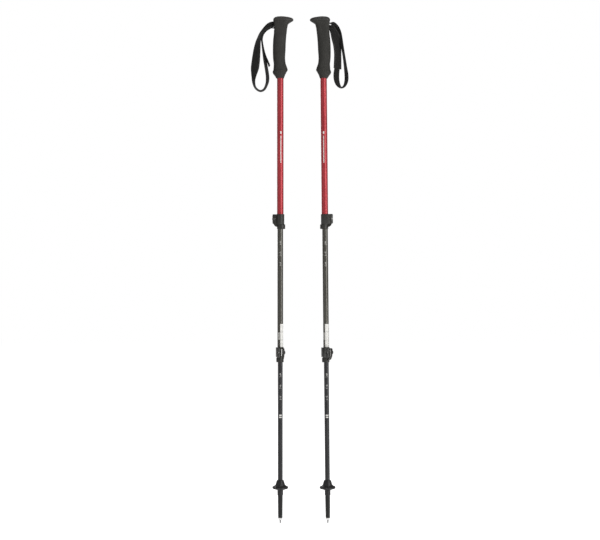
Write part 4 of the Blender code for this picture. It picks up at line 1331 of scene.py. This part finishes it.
@dataclass(frozen=True)
class Foot:
    """The ferrule, the bright sleeve and the carbide tip, in mm above the tip's face."""

    ferrule_bottom: float = 13.2
    ferrule_top: float = 104.2
    basket_seat: float = 69.5
    end_radius: float = 5.6
    shaft_radius: float = 6.05
    grooves: Triple = (17.0, 19.4, 21.8)

    def ferrule(self) -> Shell:
        """Turn the ferrule with three pressed rings near its bottom end."""
        low, high = self.ferrule_bottom, self.ferrule_top
        height = np.linspace(low, high, 150)
        radius = self.end_radius + (self.shaft_radius - self.end_radius) * smooth_step(
            low, self.basket_seat, height)
        for ring in self.grooves:
            radius = radius - 0.28 * np.exp(-((height - ring) / 0.45) ** 2)
        radius = radius - 0.35 * np.exp(-(height - low) / 0.35)
        outside = np.stack([radius, height], -1)
        inside = np.array([(4.9, high), (4.9, 130.2), (4.4, 130.2), (2.3, 33.3), (2.3, 26.6),
                           (3.7, 26.6), (3.7, low)])
        return spun(np.concatenate([outside, inside]) * MM, 64)

    def sleeve(self) -> Shell:
        """Turn the bright sleeve and its spigot."""
        profile = np.array([(2.3, 7.3), (3.6, 7.3), (3.95, 7.5), (4.5, 9.4), (5.2, 12.0),
                            (5.35, 12.6), (5.2, 12.9), (3.4, 12.9), (3.4, 26.3), (2.3, 26.3)])
        return spun(profile * MM, 64)

    def tip(self) -> Shell:
        """Turn the carbide tip, fluted by six waves that fade up the shank."""
        profile = np.array([(0.5, 0.9), (0.95, 0.35), (1.4, 0.0), (1.45, 0.5), (1.65, 2.5),
                            (1.9, 5.5), (2.0, 7.0), (2.0, 33.0), (0.8, 33.0)]) * MM
        a = TURN * np.arange(48) / 48
        fade = 1.0 - smooth_step(1.0 * MM, 7.0 * MM, profile[:, 1:])
        wave = 1.0 - 0.16 * fade * (0.5 + 0.5 * np.cos(6.0 * a))
        return spun(profile, 48, wave, wrap=False)

    def build(self, shop: Workshop, pole: Placement) -> None:
        """Build the three pieces."""
        shop.add("tip_ferrule", [self.ferrule()], pole, Slot.FERRULE, "pole_lower", "ferrule")
        shop.add("bright_sleeve", [self.sleeve()], pole, Slot.SLEEVE, "pole_lower", "tip_sleeve")
        shop.add("carbide_point", [self.tip()], pole, Slot.CARBIDE, "pole_lower", "carbide_tip")


# --- A pole ---

@dataclass(frozen=True)
class Pole:
    """One pole: where it stands, which way its clamps and its grip face, and its strap."""

    side: str
    place: Placement
    facing: float
    upper_turn: float
    lower_turn: float
    strap: WristStrap
    panel_start: float
    panel_end: float
    upper_clamp: float = 726.0 * MM
    lower_clamp: float = 397.0 * MM
    pin_out: float = 13.0 * MM
    pin_height: float = 1231.0 * MM

    def shafts(self) -> tuple[Shaft, ...]:
        """List the three tubes."""
        return (Shaft("upper", 8.0 * MM, 740.0 * MM, 1225.0 * MM, Slot.RED, "pole_upper"),
                Shaft("middle", 7.0 * MM, 411.0 * MM, 878.0 * MM, Slot.GREY, "pole_middle"),
                Shaft("lower", 6.0 * MM, 104.5 * MM, 549.5 * MM, Slot.DARK, "pole_lower"))

    def prints(self) -> tuple[tuple[str, list[Shell], str], ...]:
        """List what is printed on each shaft."""
        middle_scale = LengthScale(7.0 * MM, (637.0 * MM, 663.0 * MM, 689.0 * MM),
                                   ("110", "115", "120"))
        lower_scale = LengthScale(6.0 * MM, (307.0 * MM, 335.0 * MM, 363.0 * MM),
                                  ("110", "115", "120"))
        panel = PlainPanel(7.0 * MM, 434.5 * MM, 492.0 * MM, self.panel_start, self.panel_end,
                           (452.0 * MM, 472.0 * MM))
        side_bar = PlainPanel(7.0 * MM, 453.0 * MM, 471.0 * MM, self.panel_start - 52.0,
                              self.panel_start - 8.0,
                              tuple((453.0 + 2.0 * k) * MM for k in range(1, 9)), 1.1 * MM)
        dashes = PlainPanel(6.0 * MM, 259.0 * MM, 269.0 * MM, -118.0, -52.0, (264.0 * MM,),
                            2.2 * MM)
        stripe = PlainPanel(8.0 * MM, 889.0 * MM, 956.0 * MM, self.panel_start + 2.0,
                            self.panel_start + 20.0,
                            tuple((889.0 + 3.35 * k) * MM for k in range(1, 20)), 1.0 * MM)
        square = PlainPanel(8.0 * MM, 960.0 * MM, 967.0 * MM, self.panel_start + 1.0,
                            self.panel_start + 24.0)
        return (("upper", stripe.shells() + square.shells(), "pole_upper"),
                ("middle", middle_scale.shells() + panel.shells() + side_bar.shells(),
                 "pole_middle"),
                ("lower", lower_scale.shells() + dashes.shells(), "pole_lower"))

    def build(self, paints: Paints) -> None:
        """Build every piece of the pole."""
        shop = Workshop(self.side, paints)
        for shaft in self.shafts():
            shaft.build(shop, self.place)
        for name, shells, body in self.prints():
            self.print_on(shop, name, shells, body)
        for level, body, bore, turn, height in (
                ("upper", "pole_upper", 7.3 * MM, self.upper_turn, self.upper_clamp),
                ("lower", "pole_middle", 6.3 * MM, self.lower_turn, self.lower_clamp)):
            clamp = Clamp(level, body, f"{level}_cam", f"{level}_adjuster", bore,
                          bore + 1.0 * MM, bore + 2.5 * MM)
            clamp.build(shop, self.place.inside(about_z(turn, (0.0, 0.0, height))))
        hand = self.place.inside(about_z(self.facing))
        Grip().build(shop, hand)
        self.strap.build(shop, hand.inside(about_z(0.0, (-self.pin_out, 0.0, self.pin_height))))
        Basket().build(shop, self.place)
        Foot().build(shop, self.place)
        shop.keep("middle_bush", Slot.BUSH)
        shop.keep("lower_bush", Slot.BUSH)

    def print_on(self, shop: Workshop, name: str, shells: list[Shell], body: str) -> None:
        """Add what is printed on one shaft, in ink of its own."""
        item = mesh_object(f"{self.side}_{name}_marks", shells, self.place, 40.0)
        item.data.materials.append(shop.paints.named("printed_ink", PrintedInk()))
        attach(item, f"{self.side}_{body}")
        LOG.info("%s: %d faces", item.name, len(item.data.polygons))


LEFT_STRAP = WristStrap(
    band=((1.6, 0.4, 2.6, 74.0), (8.6, -0.6, 2.4, 72.0), (15.6, -3.6, 1.6, 56.0),
          (22.4, -8.4, 0.8, 38.0), (28.6, -14.6, 0.4, 28.0), (34.6, -23.0, 0.0, 26.0),
          (38.6, -32.0, 0.0, 26.0), (41.9, -43.2, 0.0, 33.0), (44.7, -63.0, 0.0, 46.0),
          (47.3, -87.7, 0.0, 56.0), (49.7, -108.0, 0.0, 57.0), (51.9, -124.0, 0.0, 52.0),
          (52.7, -134.0, 0.0, 42.0)),
    webbing=((50.4, -112.4, 0.0, 51.0), (52.0, -122.0, 0.0, 47.6), (53.0, -132.0, 0.0, 41.0),
             (51.8, -147.0, 0.0, 24.0), (46.6, -158.4, 0.0, 14.0), (36.0, -164.2, 0.0, 10.0),
             (26.4, -159.6, 0.0, 14.0), (20.4, -147.0, 0.0, 22.0), (18.4, -134.6, 0.0, 31.0),
             (19.2, -122.0, 0.0, 32.0), (22.4, -102.4, 0.0, 31.0), (25.2, -87.7, 0.0, 28.0),
             (28.4, -68.0, 0.0, 20.0), (31.4, -48.2, 0.0, 13.0), (32.8, -35.0, -1.0, 12.0),
             (30.0, -22.0, -2.0, 18.0), (22.2, -11.6, -2.4, 24.0), (12.4, -6.8, -1.2, 16.0),
             (5.5, -3.6, 0.0, 0.0)),
    webbing_end=((5.0, 2.6, 0.0, 0.0), (9.0, 2.2, 0.0, 20.0), (13.0, 0.6, 0.6, 34.0)),
    tail=((0.0, -9.0, 0.0, 0.0), (6.0, -8.4, -1.0, 4.0), (13.0, -9.0, -3.4, 12.0),
          (21.0, -12.2, -5.0, 16.0), (28.6, -21.8, -4.6, 15.0), (31.8, -35.0, -3.2, 10.0),
          (30.8, -48.0, -2.0, 10.0), (27.6, -66.0, -1.6, 14.0), (23.2, -80.0, -0.8, 14.0),
          (18.0, -92.0, -0.4, 14.0), (13.6, -103.0, 0.0, 14.0)),
    near=-1.0, eye_from=-90.0, eye_to=90.0, end_share=0.60)

RIGHT_STRAP = WristStrap(
    band=((4.4, -3.4, 2.0, 68.0), (8.4, -8.6, 2.2, 78.0), (12.4, -16.2, 1.6, 82.0),
          (16.2, -25.8, 0.8, 80.0), (19.4, -37.0, 0.4, 69.0), (21.4, -51.0, 0.0, 55.0),
          (22.5, -71.0, 0.0, 47.0), (22.4, -88.0, 0.0, 48.0), (21.8, -106.0, 0.0, 51.0),
          (21.6, -109.6, 0.0, 52.0)),
    webbing=((22.0, -96.0, 0.0, 50.0), (21.2, -106.0, 0.0, 58.0), (19.8, -114.0, 0.0, 67.0),
             (18.7, -124.0, 0.0, 74.0), (19.2, -137.0, 0.0, 66.0), (23.2, -149.2, 0.0, 46.0),
             (30.8, -156.2, 0.0, 22.0), (38.6, -151.8, 0.0, 26.0), (43.2, -139.6, 0.0, 36.0),
             (43.6, -125.0, 0.0, 36.0), (41.6, -108.0, 0.0, 28.0), (39.2, -88.0, 0.0, 22.0),
             (36.3, -68.0, 0.0, 20.0), (33.4, -51.0, 0.0, 24.0), (30.4, -36.0, -1.6, 34.0),
             (26.8, -21.6, -3.0, 46.0), (22.2, -9.6, -3.2, 44.0), (16.8, -1.6, -1.8, 34.0),
             (11.2, 2.4, -0.6, 24.0), (5.5, 3.1, 0.0, 0.0)),
    webbing_end=((5.0, -3.2, 0.0, 0.0), (8.0, -4.6, 0.0, 14.0)),
    tail=((-1.0, -11.6, 0.0, 0.0), (4.2, -13.2, -0.6, 6.0), (8.6, -18.4, -3.0, 34.0),
          (13.8, -28.0, -4.6, 52.0), (17.6, -42.0, -5.2, 54.0), (20.4, -60.0, -5.4, 46.0),
          (21.5, -80.0, -5.4, 42.0), (21.4, -98.0, -5.2, 42.0)),
    near=1.0, eye_from=90.0, eye_to=-90.0)

LEFT_POLE = Pole("left", about_z(0.0), 0.0, math.radians(180.0), math.radians(-67.5), LEFT_STRAP,
                 -90.0, -12.0)
RIGHT_POLE = Pole("right", about_y(math.radians(-0.56), (117.6 * MM, 0.0, 0.0)),
                  math.radians(180.0), 0.0, math.radians(-45.0), RIGHT_STRAP, -112.0, -28.0)


# --- Studio ---

@dataclass(frozen=True)
class SoftBox:
    """A rectangular area light that faces a point."""

    name: str
    place: Triple
    aim: Triple
    width: float
    height: float
    power: float

    def build(self) -> None:
        """Add the light."""
        lamp = bpy.data.lights.new(self.name, "AREA")
        lamp.shape = "RECTANGLE"
        lamp.size, lamp.size_y, lamp.energy = self.width, self.height, self.power
        item = bpy.data.objects.new(self.name, lamp)
        bpy.context.scene.collection.objects.link(item)
        item.location = self.place
        way = Vector(self.aim) - Vector(self.place)
        item.rotation_euler = way.to_track_quat("-Z", "Y").to_euler()


@dataclass(frozen=True)
class Studio:
    """Pale floor, even surroundings, soft boxes and a level camera in front of the pair."""

    centre_x: float = 0.0487
    centre_z: float = 0.6247
    view_width: float = 1.482
    distance: float = 3.2
    sensor: float = 36.0
    surroundings: float = 0.25
    floor_reach: float = 8.0
    boxes: tuple[SoftBox, ...] = (
        SoftBox("key_box", (2.1, -2.0, 1.1), (0.05, 0.0, 0.65), 0.6, 2.4, 62.0),
        SoftBox("fill_box", (-2.6, -2.4, 1.4), (0.05, 0.0, 0.65), 1.6, 1.6, 12.0),
        SoftBox("top_box", (0.1, -0.6, 3.2), (0.05, 0.0, 0.6), 1.6, 1.6, 16.0),
        SoftBox("back_box", (-1.2, 2.6, 1.6), (0.05, 0.0, 0.65), 0.8, 2.0, 18.0))

    def floor(self, paints: Paints) -> None:
        """Add the floor: a flat square grid of four points."""
        mesh = bpy.data.meshes.new("floor")
        corner = self.floor_reach * np.array([(-1.0, -1.0), (1.0, -1.0), (1.0, 1.0), (-1.0, 1.0)])
        mesh.from_pydata(np.pad(corner, ((0, 0), (0, 1))).tolist(), [], [[0, 1, 2, 3]])
        item = bpy.data.objects.new("floor", mesh)
        bpy.context.scene.collection.objects.link(item)
        mesh.materials.append(paints.named("pale_floor", StagePaint()))

    def camera(self) -> None:
        """Add the level camera."""
        lens = bpy.data.cameras.new("front_camera")
        lens.sensor_width = self.sensor
        lens.lens = self.sensor * self.distance / self.view_width
        item = bpy.data.objects.new("front_camera", lens)
        bpy.context.scene.collection.objects.link(item)
        item.location = (self.centre_x, -self.distance, self.centre_z)
        item.rotation_euler = (math.radians(90.0), 0.0, 0.0)
        bpy.context.scene.camera = item

    def build(self, paints: Paints) -> None:
        """Build the studio."""
        self.camera()
        self.floor(paints)
        for box in self.boxes:
            box.build()
        world = bpy.data.worlds.new("pale_room")
        bpy.context.scene.world = world
        world.use_nodes = True
        tree = world.node_tree
        room, seen = tree.nodes["Background"], tree.nodes.new("ShaderNodeBackground")
        room.inputs["Strength"].default_value = self.surroundings
        for sky in (room, seen):
            sky.inputs["Color"].default_value = (1.0, 1.0, 1.0, 1.0)
        mix, path = tree.nodes.new("ShaderNodeMixShader"), tree.nodes.new("ShaderNodeLightPath")
        tree.links.new(path.outputs["Is Camera Ray"], mix.inputs[0])
        tree.links.new(room.outputs[0], mix.inputs[1])
        tree.links.new(seen.outputs[0], mix.inputs[2])
        tree.links.new(mix.outputs[0], tree.nodes["World Output"].inputs["Surface"])
        bpy.context.scene.view_settings.view_transform = "Standard"


def main() -> None:
    """Build the studio and the pair."""
    logging.basicConfig(level=logging.INFO, format="%(name)s %(message)s")
    paints = Paints()
    Studio().build(paints)
    for pole in (LEFT_POLE, RIGHT_POLE):
        pole.build(paints)
        LOG.info("%s pole done", pole.side)


if __name__ == "__main__":
    main()
